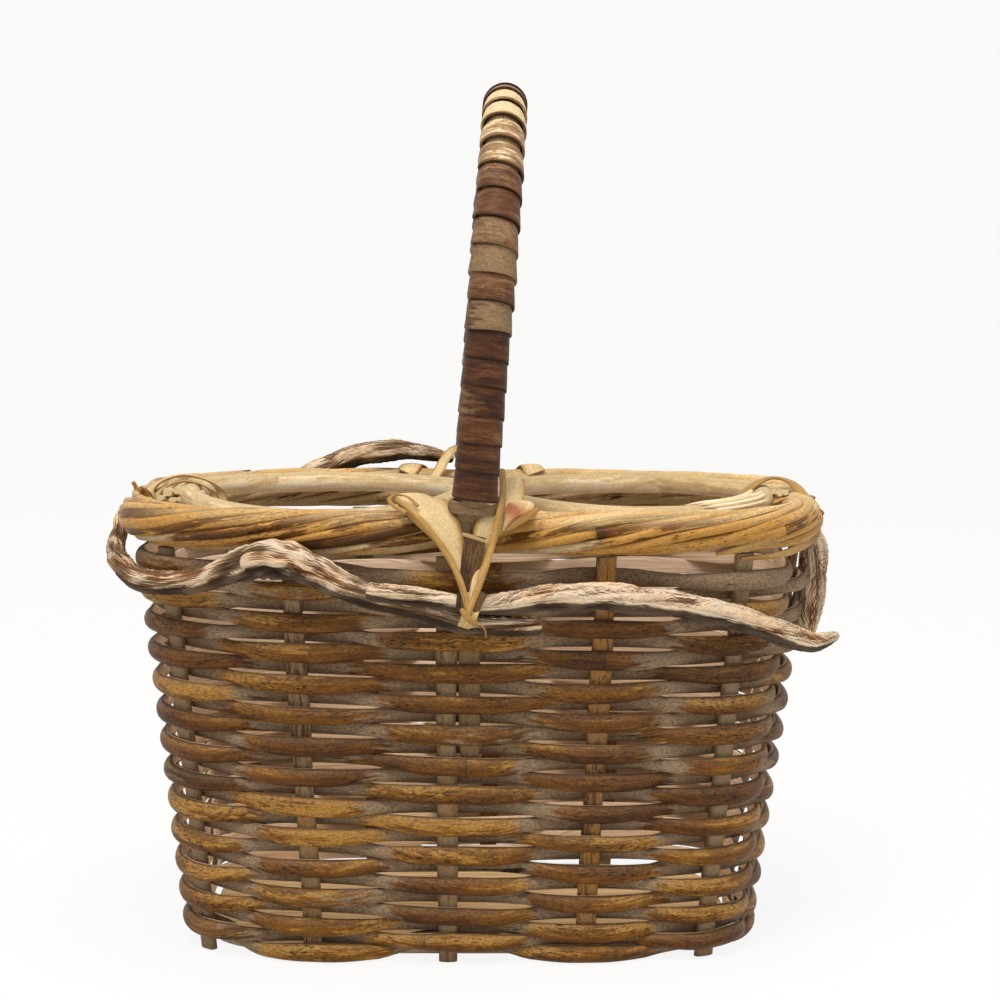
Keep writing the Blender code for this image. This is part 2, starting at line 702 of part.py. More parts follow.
def catmull(table, steps):
    """Read a smooth curve through the rows of a table at evenly spaced places."""
    rows = [np.array(r, float) for r in table]
    rows = [2 * rows[0] - rows[1]] + rows + [2 * rows[-1] - rows[-2]]
    read = []
    spans = len(rows) - 3
    for step in range(steps):
        way = spans * step / (steps - 1)
        i = min(int(way), spans - 1)
        t = way - i
        a, b, c, d = rows[i:i + 4]
        read.append(0.5 * (2 * b + (c - a) * t + (2 * a - 5 * b + 4 * c - d) * t * t
                           + (3 * b - a - 3 * c + d) * t ** 3))
    return read


def vine_out(height, radius):
    """How far out from the wall's middle a vine's middle lies to clear wall and border."""
    clear_wall = WALL_HALF + STRAP_THICKNESS + 3 * SEAT + radius
    around = BORDER_RADIUS + STRAP_THICKNESS + 3 * SEAT + radius
    drop = abs(BORDER_HEIGHT - height)
    clear_border = math.sqrt(around ** 2 - drop ** 2) if drop < around else 0.0
    below = height < BORDER_HEIGHT
    return max(clear_border, clear_wall if below else 0.0)


def vine_line(table, steps):
    points, radii = [], []
    for number, (share, height_share, thick, off) in enumerate(catmull(table, steps)):
        knob = VINE_KNOBS * math.sin(number * VINE_KNOB_TURN)
        radius = VINE_RADIUS * thick + (knob if 0 < number < steps - 1 else 0.0)
        height = BORDER_HEIGHT * height_share
        out = vine_out(height, radius) + off * 2 * VINE_RADIUS
        points.append(on_wall(share, height, out))
        radii.append(radius / VINE_RADIUS)
    return points, radii


def make_vines(group):
    bark = material("grey weathered vine", "9A8672", 0.9)
    for name, (table, steps) in VINES.items():
        points, radii = vine_line(table, steps)
        data, place = poly_curve(name, points, radii)
        data.bevel_depth = VINE_RADIUS
        data.bevel_resolution = 1
        add(group, name, data, bark, place)


# Lashings

def at_share(table, steps, share):
    """A vine's middle and radius where it passes a share of the way round."""
    points, radii = vine_line(table, steps)
    shares = np.array([row[0] for row in catmull(table, steps)])
    order = np.argsort(shares)
    values = np.array([[*p, r * VINE_RADIUS] for p, r in zip(points, radii)])[order]
    x, y, z, radius = [np.interp(share, shares[order], values[:, i]) for i in range(4)]
    return Vector((x, y, z)), radius


def hull_path(circles, room, steps):
    """A tight loop round circles (across, height, radius), as pairs of across and height."""
    path = []
    for step in range(steps):
        turn = 2 * math.pi * step / steps
        a, b = math.cos(turn), math.sin(turn)
        x, z, r = max(circles, key=lambda c: c[0] * a + c[1] * b + c[2])
        path.append((x + (r + room) * a, z + (r + room) * b))
    return path


def make_tie(group, name, vines, share, cane):
    """A band of peeled cane round the vines where they are tied to the wall."""
    out = Vector((*RIM_LOOP.outward(share), 0.0))
    along = Vector((-out.y, out.x, 0.0))
    reach = way_share(TIE_WIDTH / 2, BORDER_HEIGHT)
    held = [at_share(*vine, share + step * reach) for vine in vines for step in (0, -1, 1)]
    base = held[0][0]
    circles = [((p - base).dot(out), p.z, r) for p, r in held]
    room = (3 * SEAT + STRAP_THICKNESS) / 2
    pairs = []
    for a, z in hull_path(circles, room, TIE_STEPS):
        middle = Vector((base.x, base.y, 0.0)) + out * a + Vector((0, 0, z))
        pairs.append((middle - along * TIE_WIDTH / 2, middle + along * TIE_WIDTH / 2))
    add_ribbon(group, name, pairs, STRAP_THICKNESS, cane, closed=True)
    top = max(circles, key=lambda c: c[1])
    return base, out, along, top


def border_off(x):
    """How far the border's middle line lies inside its depth, near the handle."""
    bow = (1 - abs(2 * x / RIM_WIDTH) ** RIM_POWER) ** (1 / RIM_POWER)
    return RIM_DEPTH / 2 * (bow - 1) - dent(x)


def strap_tip(tie):
    """Where the straps' tips lie on the tie: how far out from the border's middle, and how high."""
    base, out, _, (a, z, r) = tie
    outward = Vector((0, math.copysign(1, out.y), 0))
    turn = math.radians(STRAP_TIP_ANGLE)
    reach = r + 3 * SEAT + STRAP_THICKNESS * 3 / 2
    off = (base + out * (a + reach * math.cos(turn))).dot(outward) - RIM_DEPTH / 2
    return off, z + reach * math.sin(turn)


def make_strap(group, name, tie, side, cane):
    """One arm of the V: from inside the border, over it and down to the tie."""
    base, out = tie[:2]
    outward = Vector((0, math.copysign(1, out.y), 0))
    level = Vector((-outward.y, 0, 0))
    tip_off, tip_z = strap_tip(tie)
    tip_x = base.dot(level) + side * (STRAP_TIP_WIDTH + STRAP_TIP_GAP) / 2
    around = STRAP_AROUND
    top_z = BORDER_HEIGHT + around
    whole = math.radians(STRAP_HOOK_ANGLE)
    slope = (side * STRAP_REACH - tip_x) / (top_z - tip_z)
    hook = [whole * (1 - step / (STRAP_STEPS - 1)) for step in range(STRAP_STEPS)]
    pairs = []
    for turn in hook:
        height = BORDER_HEIGHT + around * math.sin(turn)
        x = tip_x + slope * (height - tip_z if turn < math.pi / 2 else 2 * top_z - height - tip_z)
        pair = []
        for edge in (-1, 1):
            edge_x = x + edge * STRAP_WIDTH / 2
            off = RIM_DEPTH / 2 + border_off(edge_x) + around * math.cos(turn)
            pair.append(outward * off + level * edge_x + Vector((0, 0, height)))
        pairs.append(pair)
    last = pairs[-1]
    for step in range(1, STRAP_STEPS // 2):
        down = step / (STRAP_STEPS // 2 - 1)
        pair = []
        for edge, above in zip((-1, 1), last):
            tip = outward * (RIM_DEPTH / 2 + tip_off) + level * (tip_x + edge * STRAP_TIP_WIDTH / 2)
            pair.append(above.lerp(tip + Vector((0, 0, tip_z)), down))
        pairs.append(pair)
    add_ribbon(group, name, pairs, STRAP_THICKNESS, cane)


def make_tail(group, tie):
    """The cut end of the lashing: a dark flat splint on the front tie, just behind the straps."""
    base, out, along, (a, z, r) = tie
    foot = z + r + SEAT + STRAP_THICKNESS + SEAT
    tip_off, tip_z = strap_tip(tie)
    tilt = (STRAP_AROUND - tip_off) / (BORDER_HEIGHT - tip_z)
    pairs = []
    for step in range(3):
        rise = TAIL_LENGTH * step / 2
        middle = Vector((base.x, base.y, foot + rise)) + out * (a + tilt * rise)
        middle += along * (TAIL_LEAN * step / 2)
        pairs.append((middle - along * TAIL_WIDTH / 2, middle + along * TAIL_WIDTH / 2))
    add_ribbon(group, "front_tail", pairs, STRAP_THICKNESS, material("dark cane splint", "54361F", 0.6))


def make_end_lashing(group, name, side, cane):
    """A band that ties a hoop's cane to the border at the basket's end."""
    border = (RIM_WIDTH / 2, BORDER_HEIGHT, BORDER_RADIUS)
    hoop = (HOOP_SPACING / 2 + side * HOOP_SHIFT + HOOP_RADIUS, HOOP_HEIGHT, HOOP_CANE / 2)
    pairs = []
    for x, z in hull_path((border, hoop), SEAT + STRAP_THICKNESS / 2, TIE_STEPS):
        pairs.append([Vector((side * x, y * END_LASHING_WIDTH / 2, z)) for y in (-1, 1)])
    add_ribbon(group, name, pairs, STRAP_THICKNESS, cane, closed=True)


def make_lashings(group):
    cane = material("peeled cream cane", "D8C292", 0.5)
    left, right, behind = [VINES[name] for name in ("vine_left", "vine_right", "vine_back")]
    front = make_tie(group, "front_tie", (right, left), FRONT_TIE_SHARE, cane)
    back = make_tie(group, "back_tie", (behind,), BACK_TIE_SHARE, cane)
    for name, tie in (("front", front), ("back", back)):
        for hand, side in (("left", -1), ("right", 1)):
            make_strap(group, f"{name}_strap_{hand}", tie, side, cane)
    make_tail(group, front)
    make_end_lashing(group, "end_lashing_left", -1, cane)
    make_end_lashing(group, "end_lashing_right", 1, cane)


def main():
    pieces, guides = start()
    arch = Arch()
    make_board(pieces, guides)
    make_stakes(pieces)
    make_weave(pieces, guides)
    make_border(pieces)
    make_hoops(pieces)
    make_core(pieces, arch)
    make_bindings(pieces, arch)
    make_vines(pieces)
    make_lashings(pieces)
    print(f"border middle {BORDER_HEIGHT:.4f}, rim depth {RIM_DEPTH:.4f}, rim way {RIM_LOOP.length:.4f}")


main()
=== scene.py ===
# %% [markdown]
# # A wine bottle basket
# This lesson dresses the bare model of a woven carrier for two bottles. The real one is made
# of rattan: split cane stakes, rows of half-round cane that pass in front of one stake and
# behind the next, a border of strands laid up like a rope, two round hoops for the bottles,
# a bound arch handle and three gnarled vines tied on outside.
# Each step below makes one of those pieces finer than the bare model has it, in the same place.

# %% Load the bare model
import math
from functools import partial

import bpy
import numpy as np
from mathutils import Matrix, Vector, noise


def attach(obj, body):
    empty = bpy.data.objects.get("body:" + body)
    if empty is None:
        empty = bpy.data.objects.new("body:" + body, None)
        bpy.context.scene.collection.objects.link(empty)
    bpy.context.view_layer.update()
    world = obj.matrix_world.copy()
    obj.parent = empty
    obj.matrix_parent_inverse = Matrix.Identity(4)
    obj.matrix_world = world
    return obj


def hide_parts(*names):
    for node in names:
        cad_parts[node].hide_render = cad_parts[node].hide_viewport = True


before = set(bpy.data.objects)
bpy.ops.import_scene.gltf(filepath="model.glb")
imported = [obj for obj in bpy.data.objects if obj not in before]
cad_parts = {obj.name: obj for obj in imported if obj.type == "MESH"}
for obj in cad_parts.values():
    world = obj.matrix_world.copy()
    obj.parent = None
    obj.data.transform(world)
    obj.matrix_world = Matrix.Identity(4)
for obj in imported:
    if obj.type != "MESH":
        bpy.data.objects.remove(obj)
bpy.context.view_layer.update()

print("the bare model has", len(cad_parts), "pieces")

# %% [markdown]
# ## Sizes
# The lengths below are the bare model's own, in metres. The wall is a ruled surface: it leans
# from a squarish outline at the foot to a rounder one at the border. A place on it is given by
# its share of the way round, from the middle of the front, and its height.

# %% Sizes of the basket
FOOT_WIDTH, FOOT_DEPTH, FOOT_POWER = 0.2150, 0.1120, 4.5
RIM_WIDTH, RIM_DEPTH, RIM_POWER = 0.2570, 0.1342, 3.2
BORDER_HEIGHT, BORDER_RADIUS = 0.1653, 0.0086
HANDLE_RISE, HANDLE_LEAN, ARCH_POWER, LEG_SPREAD = 0.1566, 0.0120, 2.5, 0.0722
STAKE_COUNT, STAKE_WIDTH, STAKE_THICKNESS, STAKE_SHIFT = 12, 0.0075, 0.0040, 0.0088
STAKE_NUDGE_SHARES = {1: 0.05, 10: 0.06, 11: -0.02}
FIRST_ROW, WEAVER_PITCH, WAVE = 0.0097, 0.00588, 0.0041
MM = 0.001


# %% Places on the wall
def outline(width, depth, square, steps=1440):
    """Points of a plan outline, anticlockwise from the middle of the front."""
    turn = np.linspace(0.0, 2 * math.pi, steps, endpoint=False) - math.pi / 2
    c, s = np.cos(turn), np.sin(turn)
    power = 2 / square
    x = width / 2 * np.sign(c) * np.abs(c) ** power
    y = depth / 2 * np.sign(s) * np.abs(s) ** power
    return np.stack([x, y], axis=1)


class Loop:
    """A closed outline, read by the share of its length."""

    def __init__(self, points):
        self.points = np.vstack([points, points[:1]])
        steps = np.linalg.norm(np.diff(self.points, axis=0), axis=1)
        self.at = np.concatenate([[0.0], np.cumsum(steps)])
        self.length = self.at[-1]

    def point(self, share):
        way = (np.asarray(share, float) % 1.0) * self.length
        return np.stack([np.interp(way, self.at, self.points[:, i]) for i in (0, 1)], axis=-1)

    def outward(self, share, reach=0.002):
        share = np.asarray(share, float)
        ahead = self.point(share + reach) - self.point(share - reach)
        ahead /= np.linalg.norm(ahead, axis=-1, keepdims=True)
        return np.stack([ahead[..., 1], -ahead[..., 0]], axis=-1)


FOOT_LOOP = Loop(outline(FOOT_WIDTH, FOOT_DEPTH, FOOT_POWER))
RIM_LOOP = Loop(outline(RIM_WIDTH, RIM_DEPTH, RIM_POWER))
SHIFT_SHARE = STAKE_SHIFT / ((FOOT_LOOP.length + RIM_LOOP.length) / 2)


def stake_share(number):
    """Where a stake stands, as a share of the way round."""
    return (number + STAKE_NUDGE_SHARES.get(number % STAKE_COUNT, 0.0)) / STAKE_COUNT - SHIFT_SHARE


def on_wall(share, height, out=0.0):
    """Points of the leaning wall, moved outward by some lengths."""
    share, height, out = np.broadcast_arrays(share, height, out)
    up = (height / BORDER_HEIGHT)[..., None]
    spot = FOOT_LOOP.point(share) * (1 - up) + RIM_LOOP.point(share) * up
    spot = spot + RIM_LOOP.outward(share) * out[..., None]
    return np.concatenate([spot, height[..., None]], axis=-1)


def way_share(length, height):
    """The share of the way round that a length makes at a height."""
    up = height / BORDER_HEIGHT
    return length / (FOOT_LOOP.length * (1 - up) + RIM_LOOP.length * up)


print(f"the rim is {RIM_LOOP.length / MM:.0f} mm round")

# %% [markdown]
# ## Camera
# The photograph was taken from a little above the rim, straight on. The lens is worked out
# from the real size of the hoops. A helper turns a pixel of the picture into a place on an
# upright plane, which is handy for the lashings at the front.

# %% Camera
EYE = Vector((-0.0014, -0.78, 0.2722))
YAW, PITCH, ROLL = (math.radians(v) for v in (-0.93, 7.57, 0.38))
FOCAL_PIXELS, PICTURE = 1989.0, 1000.0
FORWARD = Vector((-math.sin(YAW) * math.cos(PITCH), math.cos(YAW) * math.cos(PITCH), -math.sin(PITCH)))
LEVEL_RIGHT = FORWARD.cross(Vector((0, 0, 1))).normalized()
LEVEL_UP = LEVEL_RIGHT.cross(FORWARD)
RIGHT = LEVEL_RIGHT * math.cos(ROLL) + LEVEL_UP * math.sin(ROLL)
UP = LEVEL_UP * math.cos(ROLL) - LEVEL_RIGHT * math.sin(ROLL)


def make_camera():
    data = bpy.data.cameras.new("camera")
    data.sensor_width = 36.0
    data.lens = FOCAL_PIXELS / PICTURE * data.sensor_width
    camera = bpy.data.objects.new("camera", data)
    bpy.context.scene.collection.objects.link(camera)
    turned = Matrix((RIGHT, UP, -FORWARD)).transposed().to_4x4()
    camera.matrix_world = Matrix.Translation(EYE) @ turned
    bpy.context.scene.camera = camera
    print(f"camera: {data.lens:.1f} mm lens")


def seen(px, py, y):
    """The place on the upright plane at y that shows at a pixel."""
    ray = FORWARD * FOCAL_PIXELS + RIGHT * (px - PICTURE / 2) - UP * (py - PICTURE / 2)
    return np.array(EYE + ray * ((y - EYE.y) / ray.y))


make_camera()

# %% [markdown]
# ## One tool for every strand
# Cane, vine and strap are all long things with a section that changes a little along the way.
# So one function makes them: it carries a ring of points along a middle line and skins it.
# It also writes down, at every point, how far along and round the strand the point is, in
# millimetres, so that the fibres of a material can run with the strand.

# %% Skinning a strand
def unit(rows):
    return rows / np.maximum(np.linalg.norm(rows, axis=-1, keepdims=True), 1e-12)


def along_of(middle, closed=False):
    """The direction of a line of points at each of them."""
    if closed:
        return unit(np.roll(middle, -1, axis=0) - np.roll(middle, 1, axis=0))
    return unit(np.gradient(middle, axis=0))


def spread(value, stations, points):
    """Fill a value out to one number for each station and point."""
    value = np.asarray(value, float)
    if value.ndim == 1 and len(value) == stations:
        value = value[:, None]
    return np.broadcast_to(value, (stations, points))


def skin(middle, first, second, ring, seed=0.0, closed=False, values=None):
    """Points, faces and written values of one strand.

    ring is (stations, points, 2): how far each point lies along first and second.
    """
    n, m = ring.shape[:2]
    spots = middle[:, None] + first[:, None] * ring[..., :1] + second[:, None] * ring[..., 1:]
    step = np.linalg.norm(np.diff(middle, axis=0), axis=1)
    way = np.concatenate([[0.0], np.cumsum(step)])
    side = np.linalg.norm(np.roll(ring, -1, axis=1) - ring, axis=2)
    round_way = np.cumsum(side, axis=1) - side
    marks = np.stack([spread(way, n, m), round_way, np.full((n, m), seed * MM)], axis=-1) / MM
    i, j = np.meshgrid(np.arange(n if closed else n - 1), np.arange(m), indexing="ij")
    i2, j2 = (i + 1) % n, (j + 1) % m
    quads = np.stack([i * m + j, i * m + j2, i2 * m + j2, i2 * m + j], axis=-1).reshape(-1, 4)
    faces = [tuple(q) for q in quads.tolist()]
    if not closed:
        faces += [tuple(range(m))[::-1], tuple(range((n - 1) * m, n * m))]
    k = n // 2
    if np.dot(np.cross(first[k], second[k]), middle[(k + 1) % n] - middle[k - 1]) < 0:
        faces = [face[::-1] for face in faces]
    values = {key: spread(value, n, m).ravel() for key, value in (values or {}).items()}
    return spots.reshape(-1, 3), faces, marks.reshape(-1, 3), values


def piece_from(name, strands, made_of, nodes, sharp=50.0):
    """One named piece from one or more strands, dressed and hung under the root, with the bare model's nodes it stands
    for hidden.
    """
    spots, faces, marks, values, count = [], [], [], {}, 0
    keys = sorted({key for strand in strands for key in strand[3]})
    for points, some, mark, told in strands:
        faces += [tuple(v + count for v in face) for face in some]
        spots.append(points)
        marks.append(mark)
        for key in keys:
            values.setdefault(key, []).append(told.get(key, np.zeros(len(points))))
        count += len(points)
    mesh = bpy.data.meshes.new(name)
    mesh.from_pydata(np.concatenate(spots).tolist(), [], faces)
    mesh.attributes.new("way", "FLOAT_VECTOR", "POINT").data.foreach_set(
        "vector", np.concatenate(marks).astype(np.float32).ravel())
    for key in keys:
        mesh.attributes.new(key, "FLOAT", "POINT").data.foreach_set(
            "value", np.concatenate(values[key]).astype(np.float32))
    mesh.shade_smooth()
    mesh.set_sharp_from_angle(angle=math.radians(sharp))
    mesh.materials.append(made_of)
    made = bpy.data.objects.new(name, mesh)
    bpy.context.scene.collection.objects.link(made)
    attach(made, "root")
    if nodes:
        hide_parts(*nodes)
    return made


def oval_ring(stations, points, half_first, half_second, square=2.0, turn=0.0):
    """A ring of superellipse points for every station."""
    angle = 2 * math.pi * np.arange(points) / points + np.zeros((stations, 1))
    angle = angle + spread(turn, stations, points)
    power = 2 / spread(square, stations, points)
    c, s = np.cos(angle), np.sin(angle)
    first = np.sign(c) * np.abs(c) ** power * spread(half_first, stations, points)
    second = np.sign(s) * np.abs(s) ** power * spread(half_second, stations, points)
    return np.stack([first, second], axis=-1)


def capped(value, stations, round_share=0.35, dip=2):
    """Scale for a ring that rounds off over the last few stations at both ends."""
    scale = np.ones(stations)
    for k in range(dip):
        scale[k] = scale[-1 - k] = 1 - round_share * (1 - k / dip) ** 2
    return value * scale


def ease(value):
    value = np.clip(value, 0.0, 1.0)
    return value * value * (3 - 2 * value)


def smooth_noise(draw, stations, knots, size):
    """A gently wandering value along a strand, from evenly spaced random knots."""
    rows = draw.normal(0.0, size, knots + 3)
    at = np.linspace(1.0, knots + 0.999, stations)
    i = at.astype(int)
    t = at - i
    a, b, c, d = rows[i - 1], rows[i], rows[np.minimum(i + 1, knots + 2)], rows[np.minimum(i + 2, knots + 2)]
    return 0.5 * (2 * b + (c - a) * t + (2 * a - 5 * b + 4 * c - d) * t * t + (3 * b - a - 3 * c + d) * t ** 3)


# %% [markdown]
# ## Materials
# Rattan has a hard glossy rind outside, golden to orange-brown with dark flecks and rings at
# its nodes, and a pale pith inside that shows wherever the cane is split. Where this basket
# isn't rubbed it has weathered grey. All of these are one family, so one recipe makes them
# with other colours. Its fibres are drawn about 0.6 mm apart, coarser than the real 0.2 mm,
# so that they show.

# %% Tools for materials
def linear(hex_colour):
    """An sRGB colour such as "C8A070" as linear red, green, blue and alpha."""
    parts = [int(hex_colour[i:i + 2], 16) / 255 for i in (0, 2, 4)]
    return [c / 12.92 if c <= 0.04045 else ((c + 0.055) / 1.055) ** 2.4 for c in parts] + [1.0]


def node(tree, kind, *inputs, out=0, stops=(), **settings):
    """Add a node, set it, fill or link its sockets in their order, and give one output."""
    made = tree.nodes.new("ShaderNode" + kind)
    for key, value in settings.items():
        setattr(made, key, value)
    for socket, value in zip(made.inputs, inputs):
        if isinstance(value, bpy.types.NodeSocket):
            tree.links.new(value, socket)
        elif value is not None:
            socket.default_value = linear(value) if isinstance(value, str) else value
    for number, (place, colour) in enumerate(stops):
        band = made.color_ramp.elements
        element = band[number] if number < 2 else band.new(place)
        element.position, element.color = place, linear(colour)
    return made.outputs[out]


def blank(name):
    """A new material, its node tree and its Principled shader."""
    made = bpy.data.materials.new(name)
    made.use_nodes = True
    print("finish:", name)
    return made, made.node_tree, made.node_tree.nodes["Principled BSDF"]


def evenly(colours, low=0.0, high=1.0):
    """Colours as stops, evenly spaced from low to high."""
    return [(low + (high - low) * i / (len(colours) - 1), c) for i, c in enumerate(colours)]


def grain(add, way, along, across, detail=3.0, shift=0.0):
    """Noise with so many waves per millimetre along and across the strand."""
    place = add("VectorMath", way, (along, across, 3.7), (shift, shift * 1.7, shift * 0.3),
                operation="MULTIPLY_ADD")
    return add("TexNoise", place, None, 1.0, detail, 0.55)


def finish_with(tree, shader, colour, roughness, height, bump, depth=0.6 * MM):
    """Link a colour, a roughness and a relief to the shader."""
    tree.links.new(colour, shader.inputs["Base Color"])
    tree.links.new(roughness, shader.inputs["Roughness"])
    relief = node(tree, "Bump", bump, depth)
    relief.node.inputs["Height"].default_value = 0.0
    tree.links.new(height, relief.node.inputs["Height"])
    tree.links.new(relief, shader.inputs["Normal"])
    shader.inputs["IOR"].default_value = 1.5
    # Dust and wear leave little of the surface's own shine
    shader.inputs["Specular IOR Level"].default_value = 0.22


# %% Rattan, in its many finishes
def rattan(name, rind, weathered, pith, dark, roughness=0.5, bump=0.3, node_gap=330.0, fleck=0.60,
           scar=0.8, patchy=0.9, segments=0.34, mottled=0.5, grainy=0.30):
    """Cane with a rind, a weathered grey, a pale pith and dark flecks.

    rind is a row of colours from dark to light. Written values steer it: "rind" 1 is the
    glossy skin and 0 the split pith, the wear value 1 is rubbed golden and 0 weathered grey,
    "tone" moves a strand along the row of rind colours, "pale" bleaches it. Some strands set
    the wear value, "tone" and "pale" by how a face lies to the light. There they are painted
    light and painted shade: lighter and paler on lit tops, greyer and darker in shade.
    """
    made, tree, shader = blank(name)
    add = partial(node, tree)
    way = add("Attribute", attribute_name="way", out=1)
    skin_share, rubbed, tone, pale = (add("Attribute", attribute_name=key, out=2)
                                      for key in ("rind", "worn", "tone", "pale"))
    fibre = grain(add, way, 0.035, 1.7, 4.0)
    patch = grain(add, way, 0.022, 0.16, 3.0, 11.0)
    mottle = grain(add, way, 0.11, 0.50, 5.0, 67.0)
    spot = grain(add, way, 0.45, 1.5, 4.0, 23.0)
    crowd = grain(add, way, 0.03, 0.12, 2.0, 37.0)
    ragged = grain(add, way, 0.12, 0.7, 4.0, 51.0)
    pores = grain(add, way, 0.8, 1.9, 3.0, 91.0)
    crack = grain(add, way, 0.012, 1.1, 2.0, 83.0)

    # Nodes of the cane: a new tint starts at each, with a dark ragged scar behind it
    split = add("SeparateXYZ", way)
    seed = split.node.outputs["Z"]
    cell = add("Math", add("Math", seed, 37.0, split, operation="MULTIPLY_ADD"), node_gap, operation="DIVIDE")
    segment = add("TexWhiteNoise", None, add("Math", cell, operation="FLOOR"), noise_dimensions="1D")
    after = add("Math", cell, operation="FRACT")
    behind = add("MapRange", add("Math", ragged, 26.0 / node_gap, after, operation="MULTIPLY_ADD"),
                 15.0 / node_gap, 17.0 / node_gap, scar, 0.0)
    ring_line = add("MapRange", after, 0.0, 1.0 / node_gap, scar, 0.0)
    node_dark = add("Math", add("Math", behind, mottle, operation="MULTIPLY"), ring_line, operation="MAXIMUM")

    # The rind: from the tone, slow patches, the segment and the fibres
    tint = add("Math", patch, patchy, tone, operation="MULTIPLY_ADD")
    tint = add("Math", segment, segments, tint, operation="MULTIPLY_ADD")
    tint = add("Math", fibre, 0.35, tint, operation="MULTIPLY_ADD")
    tint = add("Math", mottle, mottled, tint, operation="MULTIPLY_ADD")
    middle = 0.175 + (patchy + segments + mottled) / 2
    skin_colour = add("ValToRGB", tint, stops=evenly(rind, middle - 0.40, middle + 0.40))
    specks = add("Math", add("MapRange", spot, fleck - 0.05, fleck + 0.04, 0.0, 0.9),
                 add("MapRange", crowd, 0.40, 0.58, 0.0, 1.0), operation="MULTIPLY")
    off = add("Math", add("Math", crack, 0.5, operation="SUBTRACT"), operation="ABSOLUTE")
    cracks = add("Math", add("MapRange", off, 0.0, 0.016, 0.75, 0.0),
                 add("MapRange", patch, 0.44, 0.56, 1.0, 0.0), operation="MULTIPLY")
    marks = add("Math", add("Math", specks, cracks, operation="MAXIMUM"), node_dark, operation="MAXIMUM")
    skin_colour = add("MixRGB", marks, skin_colour, dark)

    # Weathered grey where nothing rubs, and grey as painted shade where a strand sets its wear low in shade, with a
    # ragged edge
    grey_tint = add("Math", add("Math", fibre, 0.9, operation="MULTIPLY"), crowd, operation="ADD")
    grey_tint = add("Math", mottle, 0.6, grey_tint, operation="MULTIPLY_ADD")
    grey = add("ValToRGB", grey_tint, stops=evenly(weathered, 0.98, 1.48))
    edge = add("Math", ragged, 1.1, rubbed, operation="MULTIPLY_ADD")
    worn = add("MapRange", edge, 0.86, 1.10, 0.0, 1.0)
    colour = add("MixRGB", worn, grey, skin_colour)

    # Bleached by the sun, and paler as a painted highlight where a strand marks its lit top; pith where the cane is
    # split, a dark line between
    bleach_and_highlight = add("Math", pale, add("Math", fibre, 1.3, 0.20, operation="MULTIPLY_ADD"), operation="MULTIPLY")
    colour = add("MixRGB", bleach_and_highlight, colour, pith)
    pith_colour = add("MixRGB", add("MapRange", fibre, 0.30, 0.55, 0.35, 1.0), weathered[-1], pith)
    inside = add("MapRange", skin_share, 0.16, 0.34, 0.0, 1.0)
    colour = add("MixRGB", inside, pith_colour, colour)
    line = add("Math", inside, add("MapRange", skin_share, 0.36, 0.60, 0.6, 0.0), operation="MULTIPLY")
    colour = add("MixRGB", line, colour, dark)
    shade = add("MapRange", pores, 0.32, 0.66, 1.0 - grainy, 1.0 + grainy * 0.5)
    colour = add("MixRGB", inside, colour, add("MixRGB", 1.0, colour, shade, blend_type="MULTIPLY"))
    rough = add("MapRange", worn, 0.0, 1.0, roughness + 0.3, roughness)
    height = add("Math", marks, -0.8, fibre, operation="MULTIPLY_ADD")
    height = add("Math", pores, 0.4, height, operation="MULTIPLY_ADD")
    finish_with(tree, shader, colour, rough, height, bump)
    return made


GREYS = ("291C10", "453424", "68533D", "947F68")
WEAVER_CANE = rattan("half-round kubu cane, rubbed golden over weathered grey",
                     ("361B05", "57320A", "7A4D11", "92641D", "AE813C"), GREYS, "FFE8D2", "1C0E04",
                     fleck=0.57, patchy=0.66, segments=0.20, mottled=0.56, grainy=0.48)
STAKE_CANE = rattan("split cane stake, weathered grey-brown",
                    ("4A2E14", "7C5628", "AA7C42"), ("4A3828", "765F48", "9A846A"), "C9B48C", "281A0E",
                    roughness=0.6)
BORDER_CANE = rattan("split rattan strand, olive-brown rind",
                     ("4A2E10", "7E521A", "A4702C", "C2924A"), ("4C3B28", "735D42", "9B8462", "C2AC88"),
                     "E8CC98", "2C190A", roughness=0.45, node_gap=420.0, mottled=0.65)
HOOP_CANE = rattan("round cane bent to a hoop, peeled cream",
                   ("B4905E", "ECCE9C", "FFEAC2", "FFF4DA"), ("7C6A4E", "A08A68", "C8B48E"), "F8E8C8",
                   "6A4C2C", roughness=0.5, node_gap=700.0, fleck=0.68, scar=0.3, segments=0.1, grainy=0.18)
STRAP_CANE = rattan("peeled cane strap, cream with golden edges",
                    ("865C2A", "B89252", "D9BC86", "ECD8A6"), ("A08A62", "BCA67C", "D0BE94"), "E4D2A8",
                    "6A4420", roughness=0.45, node_gap=900.0, fleck=0.72, scar=0.2, patchy=0.6, segments=0.1,
                    mottled=0.3, grainy=0.20)
RED_CANE = rattan("torn strap end, stained red-brown",
                  ("6E3A1E", "A0623C", "C89A6C", "E6CCA0"), ("A08A62", "BCA67C", "D0BE94"), "E4D2A8", "6A3420",
                  roughness=0.5, node_gap=900.0, fleck=0.66, scar=0.0, patchy=0.5, segments=0.0, mottled=0.5)
CORE_CANE = rattan("thick handle cane, pared and grey-brown",
                   ("2E1D10", "4C3420", "6C5032"), ("3C2E20", "5C4A36", "846E52"), "B0946C", "1A1008",
                   roughness=0.62, node_gap=700.0, mottled=0.7)
BINDING_CANE = rattan("flat winding cane, stained dark red-brown",
                      ("2A150C", "482812", "684026", "8A684A", "AE9068", "E2CEAA"),
                      ("47382B", "69543E", "8E765A"), "CDAE7C", "180C06", roughness=0.5, node_gap=3000.0,
                      fleck=0.62, scar=0.0, patchy=0.40, segments=0.05, mottled=0.70, grainy=0.34)

# %% [markdown]
# ## Floor and light
# The basket stands on a plain white floor that runs up into a white backdrop. The light is a
# studio's: one large soft lamp above and to the left, a weak one from the right, and an even
# sky. To the camera the floor glows a little, so that it stays white and still takes a shadow.

# %% Floor, backdrop and lamps
FLOOR_HALF, WALL_Y, WALL_RISE, BEND = 3.0, 2.2, 3.0, 0.8


